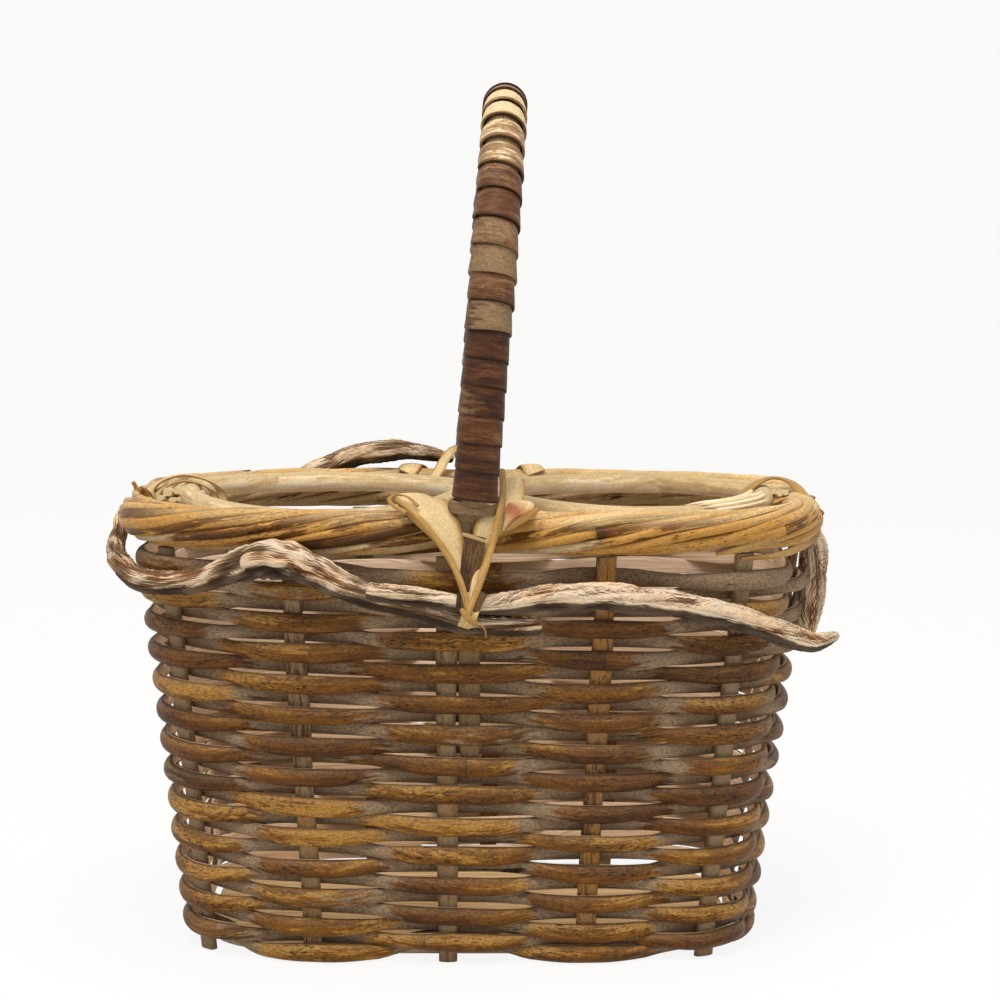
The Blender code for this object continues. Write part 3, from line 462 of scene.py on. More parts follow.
def camera_share(tree):
    """1 where the camera or a mirror looks, 0 where light bounces."""
    path = tree.nodes.new("ShaderNodeLightPath")
    add = partial(node, tree)
    both = add("Math", path.outputs["Is Camera Ray"], path.outputs["Is Glossy Ray"], operation="MAXIMUM")
    return add("Math", both, path.outputs["Is Transmission Ray"], operation="MAXIMUM")


def make_stage():
    bend = [(WALL_Y - BEND + BEND * math.sin(a), BEND - BEND * math.cos(a))
            for a in np.linspace(0.0, math.pi / 2, 12)]
    rows = [(-FLOOR_HALF, 0.0)] + bend + [(WALL_Y, WALL_RISE)]
    verts = [(x, y, z) for y, z in rows for x in (-FLOOR_HALF, FLOOR_HALF)]
    faces = [(2 * i, 2 * i + 1, 2 * i + 3, 2 * i + 2) for i in range(len(rows) - 1)]
    mesh = bpy.data.meshes.new("floor")
    mesh.from_pydata(verts, [], faces)
    mesh.shade_smooth()
    floor = bpy.data.objects.new("floor", mesh)
    bpy.context.scene.collection.objects.link(floor)
    made, tree, shader = blank("white studio paper, matte")
    shader.inputs["Base Color"].default_value = linear("F6F5F3")
    shader.inputs["Roughness"].default_value = 0.9
    shader.inputs["Specular IOR Level"].default_value = 0.1
    glow = node(tree, "Emission", "FFFFFF", 1.0)
    share = node(tree, "Math", camera_share(tree), 0.89, operation="MULTIPLY")
    mixed = node(tree, "MixShader", share, shader.outputs[0], glow)
    tree.links.new(mixed, tree.nodes["Material Output"].inputs["Surface"])
    mesh.materials.append(made)


def lamp(name, place, size, watts, colour):
    data = bpy.data.lights.new(name, "AREA")
    data.size, data.energy, data.color = size, watts, linear(colour)[:3]
    made = bpy.data.objects.new(name, data)
    made.location = place
    made.rotation_euler = (Vector((0, 0, 0.12)) - Vector(place)).to_track_quat("-Z", "Y").to_euler()
    bpy.context.scene.collection.objects.link(made)


def make_light():
    world = bpy.data.worlds.new("studio sky")
    world.use_nodes = True
    tree = world.node_tree
    sky, white = tree.nodes["Background"], node(tree, "Background", "FFFFFF", 1.0)
    sky.inputs["Color"].default_value = linear("FBF7F0")
    sky.inputs["Strength"].default_value = 0.36
    mixed = node(tree, "MixShader", camera_share(tree), sky.outputs[0], white)
    tree.links.new(mixed, tree.nodes["World Output"].inputs["Surface"])
    bpy.context.scene.world = world
    bpy.context.scene.view_settings.view_transform = "Standard"
    lamp("key lamp", (-0.45, -0.80, 1.75), 0.7, 20.5, "FFF4E4")
    lamp("fill lamp", (1.3, -0.9, 0.7), 1.2, 3.0, "FFFBF4")
    lamp("top lamp", (0.12, -0.10, 1.45), 0.5, 8.5, "FFF4E4")


make_stage()
make_light()

# %% [markdown]
# ## Base board
# The board is a thin ply plate under the lowest row, of which only the edge shows. Its shape is
# right already, so it keeps it and takes a ply finish: thin layers at the edge, seen by height,
# and a broad veneer grain along the width.

# %% Ply finish for the board
PLY_LAYER = 1.5


def ply(name):
    made, tree, shader = blank(name)
    add = partial(node, tree)
    place = add("TexCoord", out=3)
    fibre = add("TexNoise", add("VectorMath", place, (40.0, 900.0, 900.0), operation="MULTIPLY"), None, 1.0, 4.0)
    height = add("SeparateXYZ", place).node.outputs["Z"]
    layer = add("Math", add("Math", height, PLY_LAYER * MM, operation="DIVIDE"), operation="FLOOR")
    odd = add("Math", layer, 2.0, operation="FLOORED_MODULO")
    tint = add("Math", add("Math", odd, 0.22, operation="MULTIPLY"), fibre, operation="ADD")
    colour = add("ValToRGB", tint, stops=evenly(("B89C72", "DCC49C", "F2E2C4"), 0.3, 0.85))
    rough = add("MapRange", fibre, 0.0, 1.0, 0.6, 0.8)
    finish_with(tree, shader, colour, rough, fibre, 0.2)
    return made


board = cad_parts["base_board"]
board.data.materials.clear()
board.data.materials.append(ply("pale ply, sanded"))

# %% [markdown]
# ## Stakes
# Each stake is a flat split cane, about 7.5 mm wide, that leans outward with the wall. A real
# one has shallow grooves down its face and isn't quite straight, so the section wanders.

# %% Stakes
RANDOM_START = 41


def stake(number, draw):
    stations = 46
    heights = np.linspace(0.0, BORDER_HEIGHT - BORDER_RADIUS - 0.0003, stations)
    share = stake_share(number)
    middle = on_wall(share, heights)
    out = np.append(RIM_LOOP.outward(share), 0.0)
    side = np.array([-out[1], out[0], 0.0])
    middle = middle + side * smooth_noise(draw, stations, 5, 0.25 * MM)[:, None]
    half_wide = STAKE_WIDTH / 2 * (1 + smooth_noise(draw, stations, 8, 0.05))
    ring = oval_ring(stations, 20, 1.0, 1.0, 2.8, math.pi / 20)
    groove = 1 - 0.10 * np.cos(ring[..., 0] * 9.0 + number) ** 8 * (np.abs(ring[..., 1]) > 0.5)
    ring = ring * np.stack([spread(half_wide, stations, 20), STAKE_THICKNESS / 2 * groove], axis=-1)
    return skin(middle, np.tile(side, (stations, 1)), np.tile(out, (stations, 1)), ring,
                seed=number * 3.1, values={"rind": 1.0, "worn": 0.34 + 0.26 * math.sin(number * 2.3),
                                           "tone": draw.uniform(-0.1, 0.1)})


def make_stakes():
    draw = np.random.default_rng(RANDOM_START)
    for number in range(STAKE_COUNT):
        name = f"stake_{number + 1:02d}"
        piece_from(f"{name}_split_cane", [stake(number, draw)], STAKE_CANE, [name])
    print(STAKE_COUNT, "stakes")


make_stakes()

# %% [markdown]
# ## The woven rows
# Two lengths of half-round cane chase each other round the stakes, each climbing two rows a
# turn. A cane lies flat against a stake and then dives to the other side half-way to the next
# one, where it is squeezed thinner. Its round side looks outward and is rubbed golden on each
# crest, and the rest has gone grey. Its upper edge shows a thin line of pith.

# %% Woven rows
WEAVER_TALL, WEAVER_DEEP, SAG = 7.2 * MM, 3.5 * MM, 0.45 * MM
WEAVER_STARTS, WEAVER_PHASES, TONGUE = (4, 9), (1, 0), 8.3 * MM
WEAVER_TURNS, WEAVER_STATIONS = 12, 230
SECOND_LAG_SHARE, SHORT_ROW_SHARE = 7 / 12, 0.48
THIN_ROW, LOW_ROW, ON_BOARD = 3.0 * MM, 3.9 * MM, 7.9 * MM
# Section of the half-round cane: (out, up) as shares of its depth and height
HALF_ROUND_SHARES = np.array((
    (-0.50, 0.0), (-0.50, -0.25), (-0.49, -0.42), (-0.42, -0.49), (-0.26, -0.50), (-0.08, -0.49),
    (0.14, -0.44), (0.33, -0.33), (0.45, -0.18), (0.50, 0.0), (0.45, 0.18), (0.33, 0.33),
    (0.14, 0.44), (-0.08, 0.49), (-0.26, 0.50), (-0.42, 0.49), (-0.49, 0.42), (-0.50, 0.25)))


def wave_stops():
    """Where a row lies against a stake, as shares of the way round, and on which side."""
    mean_height = (FIRST_ROW + BORDER_HEIGHT) / 2
    rest = way_share(STAKE_WIDTH / 2 + 0.8 * MM, mean_height)
    beside = way_share(TONGUE, mean_height)
    stops = []
    for number in range(STAKE_COUNT):
        here, side = stake_share(number), 1 - 2 * (number % 2)
        leave = here + rest + (beside if number % 6 == 0 else 0.0)
        stops += [(here - rest, side), (leave, side)]
    return stops


def wave_at(back, start, flip):
    """How far out a row lies at places of its turn: 1 outside, -1 inside."""
    marks = sorted(((start - share) % 1.0, side * flip) for share, side in wave_stops())
    marks = [(0.0, -flip)] + marks + [(1.0, -flip)]
    at, side = np.array(marks).T
    return np.sin(math.pi / 2 * np.interp(back, at, side))


def row_height(which, turn, back):
    """Height of a row's middle at places of its turn."""
    lag = which * SECOND_LAG_SHARE
    return FIRST_ROW + 2 * WEAVER_PITCH * (turn + lag + back) - which * WEAVER_PITCH


def low_height(which, back, wave):
    """The two rows on the ground sag outside the stakes and climb onto the board inside."""
    if which:
        ahead = (back + SECOND_LAG_SHARE) % 1.0
        return (np.maximum(THIN_ROW, row_height(0, -1, ahead)) + row_height(0, 0, ahead)) / 2
    inside = np.maximum(LOW_ROW, np.minimum(ON_BOARD, row_height(0, 0, back) - 6.6 * MM))
    rest = LOW_ROW + np.clip(-wave, 0, 1) * (inside - LOW_ROW)
    return np.maximum(rest - (LOW_ROW - THIN_ROW) * (1 - np.abs(wave)), row_height(0, -1, back))


def weaver(which, turn, draw):
    """One length of cane, once round the basket."""
    start = stake_share(WEAVER_STARTS[which])
    flip = 1 if WEAVER_PHASES[which] == 0 else -1
    first = SHORT_ROW_SHARE if which and turn < 0 else 0.0006
    back = np.linspace(first, 0.9994, int(WEAVER_STATIONS * (1 - first)))
    wave = wave_at(back, start, flip)
    if turn < 0:
        height = low_height(which, back, wave)
    else:
        height = row_height(which, turn, back) - SAG * wave
    if turn == 0 and not which:
        height = np.maximum(height, LOW_ROW + 7.0 * MM * np.abs(wave))
    height = height + smooth_noise(draw, len(back), 24, 0.30 * MM)
    out = wave * WAVE + smooth_noise(draw, len(back), 18, 0.12 * MM)
    middle = on_wall(start - back, height, out)
    along = along_of(middle)
    up = np.tile((0.0, 0.0, 1.0), (len(back), 1))
    outward = unit(np.cross(along, up)) * -1.0
    up = unit(np.cross(outward, along)) * 1.0
    facing = np.einsum("ij,ij->i", outward[:, :2], RIM_LOOP.outward(start - back))
    outward = outward * np.sign(facing)[:, None]
    up = np.cross(along, outward) if np.cross(along[0], outward[0])[2] > 0 else np.cross(outward, along)
    lean = smooth_noise(draw, len(back), 20, 0.10)[:, None]
    outward, up = outward * np.cos(lean) + up * np.sin(lean), up * np.cos(lean) - outward * np.sin(lean)
    # The rows of the back are packed a little tighter
    behind = ease(middle[:, 1] / (30 * MM)) * ease(height / (20 * MM))
    low = 0.70 + 0.04 * behind
    squeeze = (low + (1 - low) * np.abs(wave) ** 1.1) * (1 + 0.12 * behind)
    tall = WEAVER_TALL * squeeze * (1 + smooth_noise(draw, len(back), 16, 0.045))
    deep = WEAVER_DEEP * (0.88 + 0.12 * np.abs(wave))
    ring = HALF_ROUND_SHARES[None] * np.stack([deep, tall], axis=-1)[:, None]
    crown = np.broadcast_to((HALF_ROUND_SHARES[:, 0] + 0.5)[None], ring.shape[:2])
    # Each crest is rubbed by its own measure. Its upper half is painted lighter and a little paler, a painted
    # highlight where light falls from above, and its lower half darker, painted shade
    dull = np.clip(smooth_noise(draw, len(back), 15, 0.36), -0.2, 0.8)
    dull = dull + 0.60 * ease((height - 0.132) / 0.012)
    painted_light_tone = HALF_ROUND_SHARES[None, :, 1] * 0.20
    values = {"rind": crown, "worn": np.clip(0.48 + 0.62 * wave - dull, 0, 1)[:, None] * np.ones(18),
              "tone": painted_light_tone + (draw.uniform(-0.05, 0.05) + smooth_noise(draw, len(back), 13, 0.085))[:, None],
              "pale": np.clip(HALF_ROUND_SHARES[:, 1] * 0.16, 0, 1)[None] * np.ones((len(back), 1))}
    return skin(middle, outward, up, ring, seed=draw.uniform(0, 900), values=values)


def make_weave():
    draw = np.random.default_rng(RANDOM_START + 1)
    for which in (0, 1):
        for turn in range(-1, WEAVER_TURNS):
            name = f"weaver_{'ab'[which]}_{turn + 1:02d}"
            piece_from(f"{name}_half_round", [weaver(which, turn, draw)], WEAVER_CANE,
                       [name])
    print(2 * WEAVER_TURNS + 2, "lengths of weaving cane")


make_weave()

# %% [markdown]
# ## The border
# The rim is laid up like a rope from twelve lengths of split rattan round a core. Each length
# starts with a cut end that shows and, once round, tucks in under its own start. Outside they
# keep their orange-brown rind; on top, where hands and sun reach them, they are bleached cream.

# %% Border
BORDER_DENT, BORDER_DENT_FULL, BORDER_DENT_END = 6.2 * MM, 12.5 * MM, 30.0 * MM
STRANDS, STRAND_TURNS, STRAND_SPREAD = 12, 3, 6.3 * MM
STRAND_WIDE, STRAND_DEEP, STRAND_STATIONS = 4.1 * MM, 3.6 * MM, 400
# Where the cut end of each length shows, as a share of the way round
CUT_SHARES = (0.066, 0.43, 0.56, 0.30, -0.205, -0.190, 0.64, 0.37, 0.48, 0.59, 0.34, 0.26)


def square_to(middle, outward, closed=False):
    """Two directions square to a strand: the outward one and the one beside it."""
    along = along_of(middle, closed)
    first = unit(outward - np.einsum("ij,ij->i", outward, along)[:, None] * along)
    return first, unit(np.cross(along, first))


def border_middle(share):
    """The rope's middle line and the level direction outward from it."""
    spot, out = RIM_LOOP.point(share), RIM_LOOP.outward(share)
    dent = BORDER_DENT * ease((BORDER_DENT_END - np.abs(spot[:, 0])) / (BORDER_DENT_END - BORDER_DENT_FULL))
    spot = spot - out * dent[:, None]
    level = np.full((len(share), 1), 0.0)
    return np.hstack([spot, level + BORDER_HEIGHT]), np.hstack([out, level])


def border_strand(number, draw):
    n = STRAND_STATIONS
    share = CUT_SHARES[number] + np.linspace(0.0, 1.012, n)
    near_end = ease((share - share[-1] + 0.030) / 0.030)
    lay = 2 * math.pi * (STRAND_TURNS * share + (number - 2.25) / STRANDS) + smooth_noise(draw, n, 30, 0.09)
    middle, out = border_middle(share)
    ray = out * np.cos(lay)[:, None] + np.array([0.0, 0.0, 1.0]) * np.sin(lay)[:, None]
    far = STRAND_SPREAD + smooth_noise(draw, n, 26, 0.22 * MM) - near_end * 2.6 * MM
    middle = middle + ray * far[:, None]
    first, second = square_to(middle, ray)
    wide = STRAND_WIDE * draw.uniform(0.86, 1.22) * (1 + smooth_noise(draw, n, 22, 0.10)) * (1 - 0.3 * near_end)
    deep = STRAND_DEEP * (1 - 0.3 * near_end)
    ring = HALF_ROUND_SHARES[None] * np.stack([deep, wide], axis=-1)[:, None]
    upper = ease((np.sin(lay) - 0.30) / 0.55) * (0.75 + smooth_noise(draw, n, 40, 0.22))
    # Their inner side is painted grey and unbleached: painted shade for the dim inside of the basket
    inner = ease((-np.cos(lay) - 0.05) / 0.5)
    cut = np.exp(-np.arange(n) / 1.2) * 0.9
    edge = 0.30 * np.clip(HALF_ROUND_SHARES[:, 1] * 2, 0, 1) ** 3 * draw.uniform(0, 1)
    # The strands on the left are painted darker, less bleached and greyer underneath: painted shade, since the light
    # falls more from the right
    left_painted_shade = ease(0.5 - middle[:, 0] / (60 * MM))
    upper = upper * (1 - 0.35 * left_painted_shade)
    under = ease((-np.sin(lay) - 0.1) / 0.7) * (draw.uniform(0.0, 0.4) + 0.25 * left_painted_shade)
    values = {"rind": np.broadcast_to((HALF_ROUND_SHARES[:, 0] + 0.5 - edge)[None], ring.shape[:2]),
              "worn": np.clip(0.90 - 0.90 * inner - under + smooth_noise(draw, n, 24, 0.12), 0, 1),
              "tone": draw.uniform(-0.04, 0.14) + smooth_noise(draw, n, 16, 0.07) - cut - 0.14 * left_painted_shade,
              "pale": np.clip(upper - 0.5 * inner - cut, 0, 1)}
    return skin(middle, first, second, ring, seed=draw.uniform(0, 900), values=values)


def border_core():
    """The bundle that the rope is laid round; it shows only in the gaps, where its dark tone paints the shade."""
    share = np.linspace(0.0, 1.0, 240, endpoint=False)
    middle, out = border_middle(share)
    first, second = square_to(middle, out, closed=True)
    return skin(middle, first, second, oval_ring(240, 12, 4.6 * MM, 4.6 * MM), closed=True,
                values={"rind": 1.0, "worn": 0.2, "tone": -0.3})


def stub(base, tip, radius, seed):
    """A short cut end of cane that sticks out of the border."""
    line = np.linspace(base, tip, 7)
    line = line + np.outer(np.sin(np.linspace(0, math.pi, 7)) * 0.8 * MM, (1.0, 0.3, 0.0))
    side = unit(np.cross(along_of(line), np.tile((0.0, 1.0, 0.0), (7, 1))))
    other = np.cross(along_of(line), side)
    taper = radius * np.linspace(1.1, 0.75, 7)
    return skin(line, side, other, oval_ring(7, 10, taper, taper * 0.8), seed=seed,
                values={"rind": 0.9, "worn": 0.7, "tone": np.linspace(0.0, -0.2, 7), "pale": 0.1})


def make_border():
    draw = np.random.default_rng(RANDOM_START + 2)
    strands = [border_strand(number, draw) for number in range(STRANDS)]
    left = [stub(seen(137, 500, -0.01), seen(133, 482, -0.012), 1.1 * MM, 3.0),
            stub(seen(150, 500, -0.02), seen(140, 489, -0.026), 1.8 * MM, 5.0)]
    right = [stub(seen(801, 512, -0.012), seen(813, 496, -0.012), 1.5 * MM, 7.0),
             stub(seen(804, 520, -0.020), seen(822, 512, -0.024), 1.7 * MM, 9.0)]
    extras = {1: [border_core()], 2: left, 3: right}
    for group in range(4):
        name = f"border_strand_{group + 1}"
        piece_from(f"{name}_split", strands[group::4] + extras.get(group, []), BORDER_CANE,
                   [name])
    print(STRANDS, "strands in the border")


make_border()

# %% [markdown]
# ## The hoops
# Two rings of round cane, peeled cream, are the mouths for the bottles. Each is one cane whose
# ends are cut slanting and laid over each other. Its section isn't quite round, and shallow
# grooves run along it. At the right end the cane has split into ridges with a frayed end.

# %% Hoops
HOOP_BORE, HOOP_CANE_SIZE, HOOP_RISE = 98.0 * MM, 8.0 * MM, 6.0 * MM
HOOP_SPACING, HOOP_SHIFT = 119.0 * MM, 2.5 * MM
SCARF_DEGREES = 20.0
LEFT_SAG, RIGHT_SAG = 3.2, 1.6


def hoop_sag(turn, front):
    """How far a hoop hangs below its ends, most at the front."""
    most = np.where(np.sin(turn) < 0, front, 2.4)
    return most * np.abs(np.sin(turn)) ** 1.2 * MM


def hoop(centre_x, start_degrees, front_sag, tone, draw):
    """One cane bent to a ring, with a slanting joint where it closes."""
    n, m = 200, 20
    turn = np.radians(start_degrees + np.linspace(0.0, 360.0 + SCARF_DEGREES, n))
    scarf = SCARF_DEGREES / (360.0 + SCARF_DEGREES)
    place = np.linspace(0.0, 1.0, n)
    first_end, last_end = 1 - np.clip(place / scarf, 0, 1), np.clip((place - 1 + scarf) / scarf, 0, 1)
    radius = (HOOP_BORE + HOOP_CANE_SIZE) / 2 + smooth_noise(draw, n, 9, 0.25 * MM)
    radius = radius + (last_end - first_end) * HOOP_CANE_SIZE / 4
    out = np.stack([np.cos(turn), np.sin(turn), np.zeros(n)], axis=-1)
    height = BORDER_HEIGHT + HOOP_RISE - hoop_sag(turn, front_sag) + smooth_noise(draw, n, 8, 0.3 * MM)
    middle = out * radius[:, None] + np.stack([np.full(n, centre_x), np.zeros(n), height], axis=-1)
    deep = HOOP_CANE_SIZE / 2 * (1 - 0.55 * np.maximum(first_end, last_end))
    tall = HOOP_CANE_SIZE / 2 * (1 + smooth_noise(draw, n, 12, 0.03))
    ring = oval_ring(n, m, deep, tall, 2.2)
    angle = 2 * math.pi * np.arange(m) / m
    ring = ring * (1 - 0.035 * np.cos(5 * angle + 1.0) ** 2)[None, :, None]
    first, second = square_to(middle, out)
    # The top of the cane is painted paler, lighter and more golden, and its underside greyer and darker: painted light
    # from above and painted shade below
    up = np.clip(ring[..., 1] / tall[:, None], -1, 1)
    values = {"rind": 1.0, "worn": 0.70 + 0.45 * up, "tone": tone + 0.16 * up, "pale": np.clip(0.2 + 0.5 * up, 0, 1)}
    return skin(middle, first, second, ring, seed=draw.uniform(0, 900), values=values)


def fibre_bundle(centre_x, draw):
    """The split end of the right hoop's cane: fine ridges side by side, ending ragged."""
    made = []
    for k in range(7):
        n = 36
        last = -27.0 + draw.uniform(-3.0, 2.5)
        turn = np.radians(np.linspace(-76.0 + 2 * k, last, n))
        rise = np.linspace(0.0, 1.0, n)
        out = np.stack([np.cos(turn), np.sin(turn), np.zeros(n)], axis=-1)
        lay = math.radians(165.0 - 24.0 * k)
        far = HOOP_CANE_SIZE / 2 + 0.4 * MM * rise
        radius = (HOOP_BORE + HOOP_CANE_SIZE) / 2 + far * math.cos(lay)
        height = BORDER_HEIGHT + HOOP_RISE - hoop_sag(turn, RIGHT_SAG) + far * math.sin(lay)
        middle = out * np.asarray(radius)[:, None] + np.stack(
            [np.full(n, centre_x), np.zeros(n), height + 0.8 * MM * rise ** 6 * draw.uniform(-1, 1)], axis=-1)
        first, second = square_to(middle, out)
        size = 0.85 * MM * ease(rise * 5) * np.ones(n)
        made.append(skin(middle, first, second, oval_ring(n, 8, size, size), seed=k * 31.0,
                         values={"rind": 1.0, "worn": 0.8, "tone": 0.1 * (k % 2), "pale": 0.5}))
    return made


def make_hoops():
    draw = np.random.default_rng(RANDOM_START + 3)
    left = HOOP_SHIFT - HOOP_SPACING / 2
    piece_from("hoop_left_cane", [hoop(left, 118.0, LEFT_SAG, 0.05, draw)], HOOP_CANE, ["hoop_left"])
    right = HOOP_SHIFT + HOOP_SPACING / 2
    piece_from("hoop_right_cane", [hoop(right, 70.0, RIGHT_SAG, -0.08, draw)] + fibre_bundle(right, draw), HOOP_CANE,
               ["hoop_right"])
    print("hoops of", HOOP_BORE / MM, "mm bore")


make_hoops()

# %% [markdown]
# ## The handle
# One thick cane bent to an arch that stands front to back and leans a little to the right. Its
# ends are pared flat, pass outside the border and go down in the weave beside a stake. Above
# the border it is wound with flat dark cane. Every turn of the winding lies over the one above,
# so its lower edge stands proud, and each turn has a tint of its own: dark red-brown low down,
# tan half-way up and cream at the crown, where the cane is bleached.

# %% Handle core
CORE_RADIUS, FOOT_THICKNESS, FOOT_BREADTH = 6.6 * MM, 4.8 * MM, 12.4 * MM
FOOT_OUT, TONGUE_WIDTH, TONGUE_LENGTH = 5.1 * MM, 8.0 * MM, 81.0 * MM
BINDING_LOOPS, BINDING_WIDTH = 18, 9.4 * MM


def handle_x(height):
    return HANDLE_LEAN * (height - BORDER_HEIGHT) / HANDLE_RISE


def arch_line():
    """The arch's middle line and its length from the front foot to each point."""
    turn = np.linspace(0.0, math.pi, 1441)
    c, s = np.cos(turn), np.abs(np.sin(turn))
    y = -LEG_SPREAD * np.sign(c) * np.abs(c) ** (2 / ARCH_POWER)
    z = BORDER_HEIGHT + HANDLE_RISE * s ** (2 / ARCH_POWER)
    line = np.stack([handle_x(z), y, z], axis=1)
    step = np.linalg.norm(np.diff(line, axis=0), axis=1)
    return line, np.concatenate([[0.0], np.cumsum(step)])


ARCH, ARCH_WAY = arch_line()
ARCH_ACROSS = unit(np.array([HANDLE_RISE, 0.0, -HANDLE_LEAN]))
ARCH_START = float(np.interp(BORDER_HEIGHT + BORDER_RADIUS + 0.3 * MM, ARCH[:720, 2], ARCH_WAY[:720]))


def on_arch(way):
    """Places on the arch, and there the directions along, outward and across."""
    read = [np.interp(way, ARCH_WAY, ARCH[:, i]) for i in range(3)]
    reach = ARCH_WAY[-1] / 400
    ahead, behind = ([np.interp(way + side * reach, ARCH_WAY, ARCH[:, i]) for i in range(3)]
                     for side in (1, -1))
    along = unit(np.stack(ahead, axis=-1) - np.stack(behind, axis=-1))
    across = np.broadcast_to(ARCH_ACROSS, along.shape)
    return np.stack(read, axis=-1), along, unit(np.cross(along, across)), across


def tongue_and_foot(side):
    """Stations of the pared end: middle, half breadth, half thickness, squareness."""
    stake = stake_share(0 if side < 0 else STAKE_COUNT // 2)
    beside = STAKE_WIDTH / 2 + 0.6 * MM + TONGUE_WIDTH / 2
    under = BORDER_HEIGHT - BORDER_RADIUS
    rows = []
    for height in np.linspace(under - TONGUE_LENGTH, under - 1.8 * MM, 14):
        tip = min((height - under + TONGUE_LENGTH) / TONGUE_WIDTH, 1.0)
        spot = on_wall(stake + way_share(beside, height), height)
        rows.append([*spot, TONGUE_WIDTH / 4 * (1 + tip), STAKE_THICKNESS / 4 * (1 + tip), 4.0])
    bend = BORDER_RADIUS * 0.62
    for bends, reach, wide in ((-1.0, 0.86, 0.7), (-0.33, 1.0, 0.9), (0.4, 1.0, 0.98), (1.0, 1.0, 1.0)):
        height = BORDER_HEIGHT + bend * bends
        out = on_wall(stake, height)[1] + side * FOOT_OUT * reach
        rows.append([handle_x(height), out, height, FOOT_BREADTH / 2 * wide, FOOT_THICKNESS / 2, 3.0])
    return rows


def core(draw):
    """The whole cane, from the tip of one tongue over the arch to the other."""
    front, back = tongue_and_foot(-1), tongue_and_foot(1)
    first = ARCH_START + CORE_RADIUS * 0.5
    way = np.linspace(first, ARCH_WAY[-1] - first, 120)
    spots, along, out, _ = on_arch(way)
    round_rows = np.hstack([spots, np.full((120, 2), CORE_RADIUS), np.full((120, 1), 2.0)])
    rows = np.vstack([front, round_rows, back[::-1]])
    middle = rows[:, :3]
    sign = np.concatenate([np.full(len(front), 1.0), np.zeros(120), np.full(len(back), -1.0)])
    outward = np.zeros_like(middle)
    outward[:, 1] = sign
    outward[len(front):len(front) + 120] = out
    outward = unit(outward)
    across = np.zeros_like(middle)
    across[:, 0] = 1.0
    across[len(front):len(front) + 120] = ARCH_ACROSS
    ring = oval_ring(len(rows), 24, rows[:, 3], rows[:, 4], rows[:, 5])
    ring = ring * (1 + 0.02 * np.cos(3 * np.arange(24) / 24 * 2 * math.pi))[None, :, None]
    values = {"rind": 1.0, "worn": 0.25, "tone": -0.05, "pale": 0.12}
    return skin(middle, across, outward, ring, seed=17.0, values=values)


# %% Winding
# Tone of each turn, from the border to the crown: low is dark red-brown and high is cream
FRONT_TINTS = (-0.22, -0.20, -0.10, -0.20, -0.23, -0.22, -0.15, -0.06, -0.16, 0.06, -0.10, -0.02, 0.14, 0.24,
               0.32, 0.36, -0.02, -0.15)
BACK_TINTS = (-0.20, -0.25, -0.05, -0.20, 0.10, -0.16, -0.28, 0.05, -0.16, 0.12, -0.10, -0.20, 0.08, 0.12,
              0.20, 0.30, 0.30, 0.10)
POINTS_A_TURN = 36


def winding(tints, back_half, draw):
    """One flat strip, wound from the foot of a leg to the crown."""
    n = BINDING_LOOPS * POINTS_A_TURN + 1
    turns = np.linspace(0.0, BINDING_LOOPS - (0.06 if back_half else 0.06), n)
    whole = ARCH_WAY[-1] - 2 * ARCH_START - BINDING_WIDTH
    # Round the outer face a turn lies nearly level, and behind it climbs
    level_share = 0.95 - 0.40 * ease((turns - 6.0) / 4.0)
    step = (turns + level_share * np.sin(2 * math.pi * turns) / (2 * math.pi)) / (2 * BINDING_LOOPS)
    way = ARCH_START + BINDING_WIDTH / 2 + whole * (1 - step if back_half else step)
    angle = 2 * math.pi * (2 * BINDING_LOOPS - turns if back_half else turns)
    spots, along, out, across = on_arch(way)
    ray = out * np.cos(angle)[:, None] + across * np.sin(angle)[:, None]
    rising = along * (-1.0 if back_half else 1.0)
    near_crown = ease((turns - 9.5) / 3.5)
    wide = (10.5 * MM - 2.4 * MM * near_crown) * (1 + smooth_noise(draw, n, 40, 0.045))
    slip = smooth_noise(draw, n, 34, 0.35 * MM)
    lift = (0.34 + 0.26 * ease((turns - 5.5) / 3.0) - 0.16 * near_crown) * MM + smooth_noise(draw, n, 50, 0.07 * MM)
    profile = np.array([(-0.5, 0.45), (-0.5, -0.35), (-0.46, -0.5), (-0.2, -0.5), (0.1, -0.5), (0.4, -0.5),
                        (0.5, -0.3), (0.5, 0.3), (0.45, 0.5), (0.2, 0.53), (-0.1, 0.55), (-0.4, 0.53),
                        (-0.47, 0.5)])
    m = len(profile)
    low_side = 0.5 - profile[:, 0]
    up = profile[None, :, 0] * wide[:, None] + slip[:, None]
    level = profile[None, :, 1] * MM + low_side[None] * 1.8 * lift[:, None]
    radius = 7.25 * MM + level
    # The strip follows the arch at each of its points, so wide turns bend with it
    at = way[:, None] + up * (-1.0 if back_half else 1.0)
    base, _, out2, across2 = on_arch(at.ravel())
    spin = np.repeat(angle, m)
    rays = out2 * np.cos(spin)[:, None] + across2 * np.sin(spin)[:, None]
    points = base + rays * radius.ravel()[:, None]
    number = np.clip((turns + 0.25).astype(int), 0, BINDING_LOOPS - 1)
    tint = np.array(tints)[number]
    soft = np.ones(5) / 5
    tint = np.convolve(np.pad(tint, 2, mode="edge"), soft, mode="valid")
    ring = np.stack([profile[None, :, 1] * np.ones((n, 1)) * MM, up], axis=-1)
    half_way = ease((turns - 5.0) / 1.5) * (1 - 0.7 * near_crown)
    values = {"rind": 1.0, "worn": 0.9 - 0.40 * half_way + smooth_noise(draw, n, 34, 0.18),
              "tone": tint[:, None] - 0.15 * (low_side[None] > 0.95),
              "pale": np.clip(tint * 2 - 0.35, 0, 0.25)}
    centre = points.reshape(n, m, 3).mean(axis=1)
    made = skin(centre, ray, rising, ring, seed=draw.uniform(0, 900), values=values)
    return (points, *made[1:])


